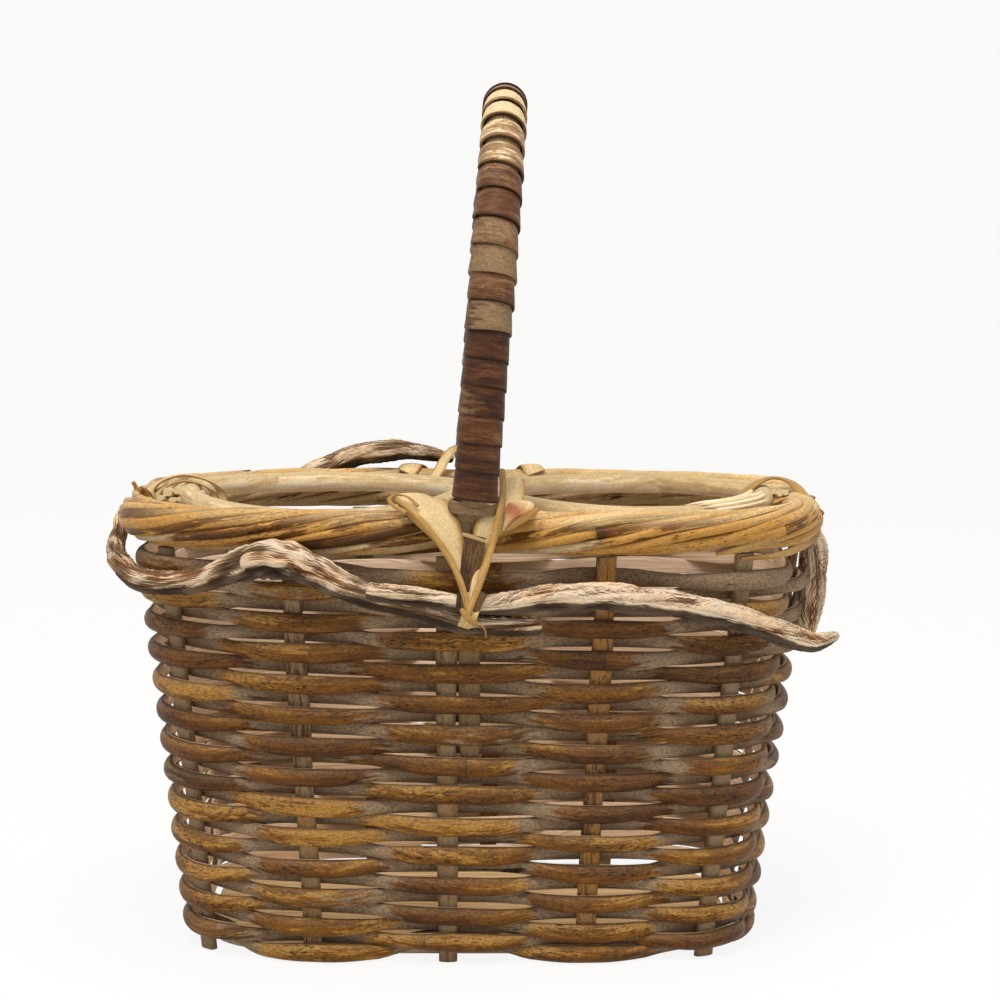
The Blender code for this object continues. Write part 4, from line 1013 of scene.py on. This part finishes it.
def collar():
    """The winding's last turns on the foot: a pale thin one and a broad weathered one below it."""
    made = []
    for py, tall, wide, tone, worn in ((501.5, 1.1, 8.2, 0.24, 1.0), (507.5, 4.2, 8.6, 0.0, 0.35)):
        centre = seen(473.5, py, -0.0715)
        angle = 2 * math.pi * np.arange(48) / 48
        c, s, zero = np.cos(angle), np.sin(angle), np.zeros(48)
        middle = centre + np.stack([c * wide * MM, s * 6.0 * MM, c * -0.4 * MM], axis=-1)
        first, second = square_to(middle, np.stack([c, s, zero], axis=-1), closed=True)
        made.append(skin(middle, first, second, oval_ring(48, 10, 0.6 * MM, tall / 2 * MM, 3.0), py, True,
                         {"rind": 1.0, "worn": worn, "tone": tone}))
    return made


def make_handle():
    draw = np.random.default_rng(RANDOM_START + 4)
    piece_from("handle_core_cane", [core(draw)], CORE_CANE, ["handle_core"])
    piece_from("handle_winding_front", [winding(FRONT_TINTS, False, draw), *collar()], BINDING_CANE,
               ["handle_binding_front"], sharp=60.0)
    piece_from("handle_winding_back", [winding(BACK_TINTS, True, draw)], BINDING_CANE,
               ["handle_binding_back"], sharp=60.0)
    print(2 * BINDING_LOOPS, "turns round the handle")


make_handle()

# %% [markdown]
# ## The vines
# Three gnarled branches are tied on outside. Their routes are read from tables like the bare
# model's. The bark is real relief: deep furrows that run along the branch and twist with it,
# knobs and hollows, and a flat crag at the highest place of the left one.

# %% Weathered bark
def bark(name):
    """Fibrous grey-tan ridges with dark furrows, partly their own colour and partly painted shade; smoother, and
    painted dark underneath as shade.
    """
    made, tree, shader = blank(name)
    add = partial(node, tree)
    way = add("Attribute", attribute_name="way", out=1)
    high, under, tone = (add("Attribute", attribute_name=key, out=2) for key in ("high", "under", "tone"))
    fibre = grain(add, way, 0.05, 2.4, 5.0)
    thread = grain(add, way, 0.14, 3.4, 3.0, 13.0)
    patch = grain(add, way, 0.05, 0.12, 3.0, 31.0)
    crack = grain(add, way, 0.07, 1.1, 4.0, 47.0)
    place = add("TexCoord", out=3)
    shade_edge_noise = add("TexNoise", place, None, 160.0, 4.0, 0.6)
    # Lighter on high ridges and darker in the furrows: partly the bark's own colour, partly painted shade in the
    # furrows
    tint = add("Math", high, 0.70, add("Math", fibre, 1.0, operation="MULTIPLY"), operation="MULTIPLY_ADD")
    tint = add("Math", patch, 0.20, tint, operation="MULTIPLY_ADD")
    tint = add("Math", tint, tone, operation="ADD")
    ridge = add("ValToRGB", tint, stops=evenly(("33261A", "5C4836", "8C7258", "BA9C80", "F0DEC8"), 0.58, 1.26))
    warm = add("MixRGB", add("MapRange", patch, 0.46, 0.64, 0.0, 0.8), ridge, "B9855F", blend_type="SOFT_LIGHT")
    # Below is a dark colour painted on the side that faces down, as painted shade; noise makes its edge ragged
    below = add("ValToRGB", add("Math", thread, 0.45, add("Math", high, 0.5, operation="MULTIPLY"),
                                operation="MULTIPLY_ADD"), stops=evenly(("1E1711", "3C3026", "6E5A46"), 0.25, 0.75))
    edge = add("Math", shade_edge_noise, 0.7, under, operation="MULTIPLY_ADD")
    colour = add("MixRGB", add("MapRange", edge, 0.62, 0.96, 0.0, 0.94), warm, below)
    off = add("Math", add("Math", crack, 0.5, operation="SUBTRACT"), operation="ABSOLUTE")
    cracks = add("MapRange", off, 0.0, 0.022, 0.75, 0.0)
    colour = add("MixRGB", cracks, colour, "33261A")
    relief = add("Math", thread, 0.6, fibre, operation="MULTIPLY_ADD")
    relief = add("Math", cracks, -0.5, relief, operation="MULTIPLY_ADD")
    rough = add("MapRange", fibre, 0.0, 1.0, 0.95, 0.75)
    finish_with(tree, shader, colour, rough, relief, 0.6, 0.9 * MM)
    return made


VINE_BARK = bark("vine bark, weathered grey and furrowed")

# %% Vines
VINE_RADIUS, WALL_HALF, LASHING_ROOM = 4.6 * MM, 5.6 * MM, 1.8 * MM
# Rows of a vine: share of the way round, share of the border's height, thickness, stand-off
VINE_LEFT = (
    (0.038, 0.803, 0.63, 0.0), (0.027, 0.804, 0.78, 0.0), (0.016, 0.806, 0.84, 0.0),
    (-0.005, 0.815, 0.84, 0.0), (-0.028, 0.842, 0.86, 0.0), (-0.049, 0.864, 0.94, 0.0),
    (-0.067, 0.888, 1.02, 0.0), (-0.082, 0.921, 1.17, 0.0), (-0.094, 0.945, 1.33, 0.0),
    (-0.107, 0.953, 1.33, 0.0), (-0.120, 0.932, 1.18, 0.0), (-0.137, 0.903, 0.98, 0.0),
    (-0.154, 0.884, 0.95, 0.0), (-0.175, 0.880, 0.90, 0.0), (-0.200, 0.905, 0.85, 0.0),
    (-0.225, 0.930, 0.70, 0.0), (-0.250, 0.958, 0.56, 0.0), (-0.278, 0.970, 0.55, 0.0),
    (-0.312, 0.955, 0.70, 0.0), (-0.350, 0.960, 0.80, 0.0), (-0.385, 0.995, 0.88, 0.0),
    (-0.408, 1.040, 0.96, 0.0), (-0.428, 1.075, 1.00, 0.0), (-0.450, 1.092, 0.96, 0.0),
    (-0.466, 1.090, 0.78, 0.0), (-0.479, 1.080, 0.55, 0.0), (-0.488, 1.068, 0.34, 0.0))
VINE_RIGHT = (
    (-0.055, 0.890, 0.66, 0.88), (-0.038, 0.881, 0.70, 0.86), (-0.017, 0.870, 0.70, 0.84),
    (-0.002, 0.858, 0.70, 0.80), (0.015, 0.856, 0.82, 0.36), (0.037, 0.868, 0.94, 0.02),
    (0.058, 0.870, 1.02, 0.0), (0.079, 0.867, 1.02, 0.0), (0.100, 0.857, 0.98, 0.0),
    (0.122, 0.838, 0.99, 0.0), (0.141, 0.814, 0.95, 0.0), (0.158, 0.787, 0.96, 0.0),
    (0.172, 0.761, 0.93, 0.25), (0.182, 0.743, 0.77, 0.75), (0.200, 0.742, 0.42, 1.2))
VINE_BACK = (
    (0.230, 0.682, 0.66, -0.30), (0.233, 0.750, 1.14, -0.42), (0.238, 0.820, 1.26, -0.42),
    (0.248, 0.880, 1.18, -0.32), (0.270, 0.915, 1.02, -0.08), (0.300, 0.905, 1.00, 0.0),
    (0.340, 0.860, 1.10, 0.35), (0.390, 0.810, 1.00, 0.75), (0.440, 0.850, 0.95, 0.40),
    (0.480, 0.845, 0.85, 0.0), (0.515, 0.835, 0.65, 0.0))


def through(rows, count):
    """Read a smooth curve through the rows of a table at evenly spaced places."""
    rows = np.array(rows, float)
    rows = np.vstack([2 * rows[0] - rows[1], rows, 2 * rows[-1] - rows[-2]])
    at = np.linspace(0.0, len(rows) - 3, count)
    i = np.minimum(at.astype(int), len(rows) - 4)
    t = (at - i)[:, None]
    a, b, c, d = rows[i], rows[i + 1], rows[i + 2], rows[i + 3]
    return 0.5 * (2 * b + (c - a) * t + (2 * a - 5 * b + 4 * c - d) * t * t + (3 * b - a - 3 * c + d) * t ** 3)


def vine_middle(table, count):
    """Middle line, radius and outward direction of a vine that hugs wall and border."""
    share, high, thick, off = through(table, count).T
    radius, height = VINE_RADIUS * thick, BORDER_HEIGHT * high
    around = BORDER_RADIUS + LASHING_ROOM + radius
    beside = np.sqrt(np.clip(around ** 2 - (BORDER_HEIGHT - height) ** 2, 0.0, None))
    out = np.maximum(beside, np.where(height < BORDER_HEIGHT, WALL_HALF + LASHING_ROOM + radius, 0.0))
    outward = np.hstack([RIM_LOOP.outward(share), np.zeros((count, 1))])
    return on_wall(share, height, out + off * 2 * VINE_RADIUS), radius, outward


def barked(middle, radius, outward, seed, twist, craggy, tone):
    """A branch with furrowed bark. craggy tells how rough each station is."""
    n, m = len(middle), 60
    first, second = square_to(middle, outward)
    way = np.concatenate([[0.0], np.cumsum(np.linalg.norm(np.diff(middle, axis=0), axis=1))]) / MM
    angle = 2 * math.pi * np.arange(m) / m
    relief = np.zeros((n, m))
    for i in range(n):
        for j in range(m):
            turn = angle[j] + way[i] * twist
            c, s = math.cos(turn), math.sin(turn)
            furrow = 1 - abs(noise.noise((c * 5.2, s * 5.2, way[i] * 0.022 + seed))) * 3.0
            lump = noise.noise((c * 0.9, s * 0.9, way[i] * 0.075 + seed * 2))
            crag = noise.noise((c * 2.0, s * 2.0, way[i] * 0.19 + seed * 3))
            relief[i, j] = 0.10 * furrow + 0.26 * lump + craggy[i] * 0.42 * crag
    scale = (1 + relief) * radius[:, None]
    end = np.minimum(np.arange(n), np.arange(n)[::-1])
    scale = scale * np.where(end == 0, 0.80, np.where(end == 1, 0.95, 1.0))[:, None]
    ring = np.stack([np.cos(angle) * scale, np.sin(angle) * scale], axis=-1)
    ray = first[:, None] * ring[..., :1] + second[:, None] * ring[..., 1:]
    facing = ray[..., 2] / np.linalg.norm(ray, axis=-1)
    # high follows the relief, for lighter ridges and darker furrows; under marks the side that faces down, which the
    # bark finish paints dark as shade
    values = {"high": np.clip(0.5 + relief * 1.6, 0, 1), "under": ease((-facing + 0.05) / 0.7), "tone": tone}
    return skin(middle, first, second, ring, seed=seed * 10, values=values)


def make_vines():
    # The left vine is toned darker and the other two lighter: painted shade and light, since the light falls more from
    # the right
    for name, table, count, seed, tone in (("vine_left", VINE_LEFT, 330, 1.3, -0.06),
                                           ("vine_right", VINE_RIGHT, 200, 5.1, 0.06),
                                           ("vine_back", VINE_BACK, 180, 9.7, 0.04)):
        middle, radius, outward = vine_middle(table, count)
        share = through(table, count)[:, 0]
        craggy = 0.15 + 0.85 * np.exp(-((share + 0.104) / 0.022) ** 2) * (name == "vine_left")
        piece_from(f"{name}_bark", [barked(middle, radius, outward, seed, 0.028, craggy, tone)], VINE_BARK,
                   [name], sharp=70.0)
    print("three vines")


make_vines()

# %% [markdown]
# ## The lashings
# Peeled cane straps tie everything together. At the front two broad cream straps come over the
# border in a V, two narrow golden ones run down in front of them to a small knot round the
# vines, and a dark splint is jammed between. Their routes are read off the picture, pixel by
# pixel, and set at the depth of the border and the vines. The back has plainer twins.

# %% Straps
def strap(rows, thick=0.9 * MM, seed=0.0, count=48, cup=0.0, values=None, centre=None):
    """A flat strip through rows of (pixel across, pixel down, depth mm, width mm, tilt degrees).

    A tilt of 0 faces the front and 90 faces up. cup bends its edges back.
    """
    rows = through(rows, count)
    middle = np.array([seen(px, py, y * MM) for px, py, y, _, _ in rows])
    tilt = np.radians(rows[:, 4])
    face = np.stack([np.zeros(count), -np.cos(tilt), np.sin(tilt)], axis=-1)
    return strip_along(middle, face, rows[:, 3] * MM, thick, seed, cup, values)


def strip_along(middle, face, wide, thick, seed=0.0, cup=0.0, values=None):
    """A flat strip along a middle line; face is the side it turns outward."""
    n = len(middle)
    face, side = square_to(middle, face)
    ring = oval_ring(n, 20, wide / 2, thick / 2, 3.2)
    half = ring[..., 0] / (np.asarray(wide).reshape(-1, 1) / 2)
    ring[..., 1] -= cup * half ** 2
    ring[..., 1] += 0.10 * thick * np.cos(half * 11.0)
    edge = ease((np.abs(half) - 0.55) / 0.4)
    told = {"rind": 1.0, "worn": 0.9, "tone": 0.12 - 0.35 * edge, "pale": 0.55 * (1 - edge)}
    told.update(values or {})
    return skin(middle, side, face, ring, seed=seed, values=told)


GOLDEN = {"tone": -0.22, "pale": 0.05, "worn": 1.0}
CREAM = {"tone": 0.10, "pale": 0.55, "worn": 0.9}
BROAD_LEFT = ((410, 494, -57.0, 14.0, 95), (418, 501, -64.0, 15.5, 72), (430, 510, -71.0, 15.2, 38),
              (441, 524, -74.5, 13.0, 12), (450, 540, -77.5, 10.0, 5), (459, 564, -81.0, 5.4, 5),
              (467, 592, -86.0, 3.2, 8), (469, 610, -89.5, 2.6, 10))
NARROW_LEFT = ((392, 497, -63.0, 1.5, 90), (402, 503, -70.0, 2.0, 55), (418, 517, -76.3, 2.3, 20),
               (437, 540, -79.3, 2.4, 8), (453, 565, -83.2, 2.4, 5), (463, 590, -88.0, 2.3, 5),
               (468, 614, -91.6, 2.0, 8))
CURL = ((418, 506, -72.5, 1.2, 60), (408, 497, -68.0, 1.4, 95), (396, 495, -66.0, 1.5, 110),
        (389, 499, -68.5, 1.5, 80), (394, 506, -73.0, 1.6, 40), (406, 513, -75.4, 1.8, 20))
BROAD_RIGHT = ((514, 478, -52.0, 8.0, 95), (513, 490, -60.0, 9.0, 85), (510, 500, -67.0, 10.0, 55),
               (503, 512, -73.0, 10.6, 20), (489, 527, -76.0, 10.2, 6), (480, 548, -79.5, 6.2, 5),
               (475, 580, -84.5, 3.6, 6), (470, 608, -89.3, 2.6, 10))
NARROW_RIGHT = ((502, 470, -54.0, 2.4, 90), (503, 488, -64.0, 2.6, 75), (501, 506, -73.6, 2.7, 30),
                (497, 525, -77.6, 2.7, 8), (490, 552, -81.5, 2.6, 5), (481, 580, -86.3, 2.5, 5),
                (472, 604, -90.4, 2.2, 5), (466, 619, -91.8, 2.0, 8))
FLAP_CURL = ((539, 508, -75.0, 1.8, 60), (532, 513, -75.6, 2.6, 45), (519, 522, -76.0, 2.6, 30),
             (506, 531, -76.6, 1.0, 15))
CUT_FACE = ((462.5, 534.0, -81.0, 1.3, 40), (474.0, 537.5, -81.2, 1.6, 40), (485.5, 541.5, -81.0, 1.2, 40))
DARK = {"rind": 1.0, "worn": 1.0, "tone": -0.30, "pale": 0.0}
SPLINT = ((476, 536, -80.4, 7.4, -4), (473, 552, -81.6, 7.6, -4), (469, 575, -83.6, 6.6, -4),
          (464, 600, -87.0, 5.4, -4), (462, 612, -88.4, 4.6, -4))
SMALL_SPLINT = ((484, 593, -87.6, 2.6, 4), (478, 605, -89.0, 2.7, 4), (473, 618, -90.0, 2.4, 4))


def flap(seed):
    """The torn end of a strap: a broad leaf that stands up beside the handle, red in the middle."""
    red = np.exp(-((np.linspace(0.0, 1.0, 40) - 0.45) / 0.24) ** 2)
    return strap(((503, 531, -76.5, 0.8, 10), (507, 523, -76.0, 3.0, 15), (513, 513, -74.8, 6.5, 25),
                  (519, 508, -73.0, 9.0, 40), (523, 504, -71.0, 8.5, 60), (525, 501, -69.0, 6.5, 75)),
                 0.7 * MM, seed, 40, 0.6 * MM, {"tone": (0.30 - 0.42 * red)[:, None], "worn": 1.0,
                                                "pale": (0.35 * (1 - red))[:, None]})


def wrap(centre, tall, deep, width, lean, seed, turn=0.0):
    """A narrow band round something lying along the width: one closed loop."""
    n = 40
    angle = 2 * math.pi * np.arange(n) / n
    middle = np.stack([np.sin(angle + turn) * lean, -np.cos(angle) * deep, np.sin(angle) * tall], axis=-1)
    face = unit(np.stack([np.zeros(n), -np.cos(angle) / deep, np.sin(angle) / tall], axis=-1))
    middle = middle + np.asarray(centre)
    first, second = square_to(middle, face, closed=True)
    ring = oval_ring(n, 10, 0.5 * MM, width / 2, 3.0)
    return skin(middle, first, second, ring, seed=seed, closed=True,
                values={"rind": 1.0, "worn": 1.0, "tone": 0.0, "pale": 0.2})


def make_front_lashing():
    piece_from("front_strap_left_peeled", [strap(BROAD_LEFT, seed=1.0, cup=0.5 * MM, values=None),
                                           strap(NARROW_LEFT, 1.2 * MM, 3.0, cup=0.2 * MM, values=GOLDEN),
                                           strap(CURL, 0.6 * MM, 5.0, values=GOLDEN)],
               STRAP_CANE, ["front_strap_left"])
    piece_from("front_strap_right_peeled", [strap(BROAD_RIGHT, seed=7.0, cup=0.5 * MM),
                                            strap(NARROW_RIGHT, 1.2 * MM, 9.0, cup=0.2 * MM, values=GOLDEN),
                                            strap(FLAP_CURL, 0.8 * MM, 12.0, values=DARK)],
               STRAP_CANE, ["front_strap_right"])
    piece_from("front_strap_right_flap", [flap(11.0)], RED_CANE, ["front_strap_right"])
    knot = seen(469, 614, -0.0835)
    loops = [wrap(knot + np.array([k * 1.1 * MM, 0.0, -k * 0.4 * MM]), 4.3 * MM, 7.2 * MM + 0.2 * MM * k,
                  2.1 * MM, 1.9 * MM, 13.0 + k, 0.3 * k) for k in (-1, 0, 1)]
    cross = strap(((461, 609, -91.6, 1.6, 10), (466, 616, -92.4, 2.4, 5), (472, 622, -92.4, 2.2, -5),
                   (477, 626, -91.0, 1.2, -10)), 1.0 * MM, 19.0, 20, 0.3 * MM, GOLDEN)
    hair = strap(((474, 621, -91.8, 0.6, 0), (480, 624, -92.2, 0.5, 0), (485, 630, -92.0, 0.5, 0),
                  (486, 637, -91.0, 0.4, 0)), 0.4 * MM, 20.0, 16, 0.0, DARK)
    piece_from("front_tie_knot", loops + [cross, hair], STRAP_CANE, ["front_tie"])
    piece_from("front_splint", [strap(SPLINT, 1.3 * MM, 23.0, values=dict(DARK, tone=0.05)),
                                strap(CUT_FACE, 0.8 * MM, 25.0, values={"rind": 0.0}),
                                strap(SMALL_SPLINT, 1.4 * MM, 29.0, values=dict(DARK, tone=0.15))],
               CORE_CANE, ["front_tail"])


# %% The back's lashing
def hooked(side, tip, tip_width, wide, draw):
    """A strap from inside the back border, over it and down to the tie round the vine."""
    n = 44
    reach, around = 25.5 * MM, BORDER_RADIUS + 1.1 * MM
    hook = np.radians(np.linspace(135.0, 0.0, 24))
    height = np.concatenate([BORDER_HEIGHT + around * np.sin(hook),
                             np.linspace(BORDER_HEIGHT, tip[2], n - 23)[1:]])
    fall = np.concatenate([np.where(hook > math.pi / 2, 2 * (BORDER_HEIGHT + around) - height[:24], height[:24]),
                           height[24:]])
    top = BORDER_HEIGHT + around
    share = (fall - tip[2]) / (top - tip[2])
    across = tip[0] + (side * reach - tip[0]) * share
    bow = (1 - np.abs(2 * across / RIM_WIDTH) ** RIM_POWER) ** (1 / RIM_POWER)
    dent = BORDER_DENT * ease((BORDER_DENT_END - np.abs(across)) / (BORDER_DENT_END - BORDER_DENT_FULL))
    line = RIM_DEPTH / 2 * bow - dent
    down = np.clip((BORDER_HEIGHT - height) / (BORDER_HEIGHT - tip[2]), 0, 1)
    out = np.where(np.arange(n) < 24, line + around * np.cos(np.append(hook, np.zeros(n - 24))),
                   (line + around) * (1 - down) + tip[1] * down)
    middle = np.stack([across, out, height], axis=-1)
    face = np.stack([np.zeros(n), np.append(np.cos(hook), np.ones(n - 24)),
                     np.append(np.sin(hook), np.zeros(n - 24))], axis=-1)
    width = tip_width + (wide - tip_width) * np.clip(share * 1.2, 0, 1)
    return strip_along(middle, face, width, 0.9 * MM, draw.uniform(0, 99), 0.3 * MM)


BACK_LOOP = ((433, 480, 44.0, 4.6, 80), (439, 470, 50.0, 4.6, 60), (445, 459, 55.0, 4.2, 30), (452, 451, 59.0, 3.6, 5),
             (462, 447, 61.0, 3.0, 0))


def make_back_lashing():
    draw = np.random.default_rng(RANDOM_START + 5)
    middle, radius, _ = vine_middle(VINE_BACK, 400)
    held = int(np.argmin(np.abs(through(VINE_BACK, 400)[:, 0] - 0.4955)))
    centre, size = middle[held], radius[held]
    tip = centre + np.array([0.0, size * 0.7 + 1.6 * MM, size * 0.8])
    for hand, side in (("left", 1), ("right", -1)):
        spot = tip + np.array([side * 1.8 * MM, 0.0, 0.0])
        extra = [strap(BACK_LOOP, 0.9 * MM, 37.0)] if hand == "right" else []
        piece_from(f"back_strap_{hand}_peeled", [hooked(side, spot, 4.0 * MM, 9.0 * MM, draw)] + extra,
                   STRAP_CANE, [f"back_strap_{hand}"])
    loops = [wrap(centre + np.array([k * 1.9 * MM, 0.0, 0.0]), size + 1.3 * MM, size + 1.3 * MM, 2.0 * MM,
                  0.6 * MM, 31.0 + k) for k in (-1, 0, 1)]
    piece_from("back_tie_knot", loops, STRAP_CANE, ["back_tie"])


# %% Ends
def rods(places, depth, radius, draw):
    """Chopped pith ends that face the front."""
    made = []
    for px, py in places:
        n, size = 8, radius * draw.uniform(0.75, 1.2)
        tip = seen(px, py, depth + draw.uniform(-1.0, 1.0) * MM)
        line = tip + np.outer(np.linspace(0.0, 1.0, n), (draw.uniform(-1, 1) * 2 * MM, 9 * MM, -2.0 * MM))
        first = np.tile((1.0, 0.0, 0.0), (n, 1))
        second = unit(np.cross(along_of(line), first))
        scale = np.append(0.8, np.ones(n - 1)) * size
        made.append(skin(line, first, second, oval_ring(n, 9, scale, scale * draw.uniform(0.6, 1.0), 2.6,
                                                        draw.uniform(0, 1)), seed=draw.uniform(0, 900),
                         values={"rind": 0.1, "worn": 0.5, "tone": 0.3, "pale": 0.8}))
    return made


def make_end_lashings():
    draw = np.random.default_rng(RANDOM_START + 6)
    outer = strap(((146, 507, -3, 5.0, 20), (148, 494, -2, 5.0, 60), (160, 482, -1, 5.2, 85), (183, 475, -1, 5.2, 90),
                   (206, 480, -1, 5.0, 100), (219, 490, -2, 4.8, 120), (223, 503, -3, 4.4, 150)), 0.9 * MM, 41.0)
    inner = strap(((152, 508, -4, 4.6, 20), (155, 496, -3, 4.8, 60), (165, 487, -2, 5.0, 85), (184, 481, -2, 5.0, 90),
                   (202, 485, -2, 4.8, 100), (212, 493, -3, 4.6, 120), (215, 503, -4, 4.2, 150)), 0.8 * MM, 43.0)
    places = [(160 + 7.6 * k + draw.uniform(-1.5, 1.5), 499 - 9 * math.sin(math.pi * (k + 0.5) / 7)
               + draw.uniform(-1.5, 1.5)) for k in range(7)]
    places += [(164 + 8.5 * k, 500 + draw.uniform(-1, 1)) for k in range(6)]
    piece_from("end_lashing_left_peeled", [outer, inner] + rods(places, -7.0 * MM, 1.9 * MM, draw), STRAP_CANE,
               ["end_lashing_left"])
    over = strap(((741, 500, -10, 4.2, 70), (751, 487, -7, 4.6, 85), (770, 478, -4, 4.8, 92), (790, 482, -4, 4.6, 80),
                  (805, 498, -9, 4.4, 55), (815, 519, -18, 4.0, 35), (813, 537, -32, 3.8, 10), (791, 551, -46, 3.8, -20),
                  (770, 556, -52, 3.4, -40), (740, 559, -57, 2.4, -60)), 1.0 * MM, 47.0, 70, values=GOLDEN)
    loop = strap(((768, 505, -12, 2.8, 90), (786, 499, -12, 3.0, 80), (799, 507, -22, 3.2, 60),
                  (802, 521, -38, 3.4, 30), (783, 536, -53.5, 3.6, 8), (748, 547, -62, 3.2, -5),
                  (716, 554, -65, 1.4, -20)), 1.1 * MM, 53.0, 70, values=GOLDEN)
    places = [(758 + 5.5 * k, 500 - 8 * math.sin(math.pi * (k + 1) / 9) + draw.uniform(-2, 2)) for k in range(8)]
    piece_from("end_lashing_right_peeled", [over, loop] + rods(places, -9.0 * MM, 1.4 * MM, draw), STRAP_CANE,
               ["end_lashing_right"])


make_front_lashing()
make_back_lashing()
make_end_lashings()
print("lashings tied")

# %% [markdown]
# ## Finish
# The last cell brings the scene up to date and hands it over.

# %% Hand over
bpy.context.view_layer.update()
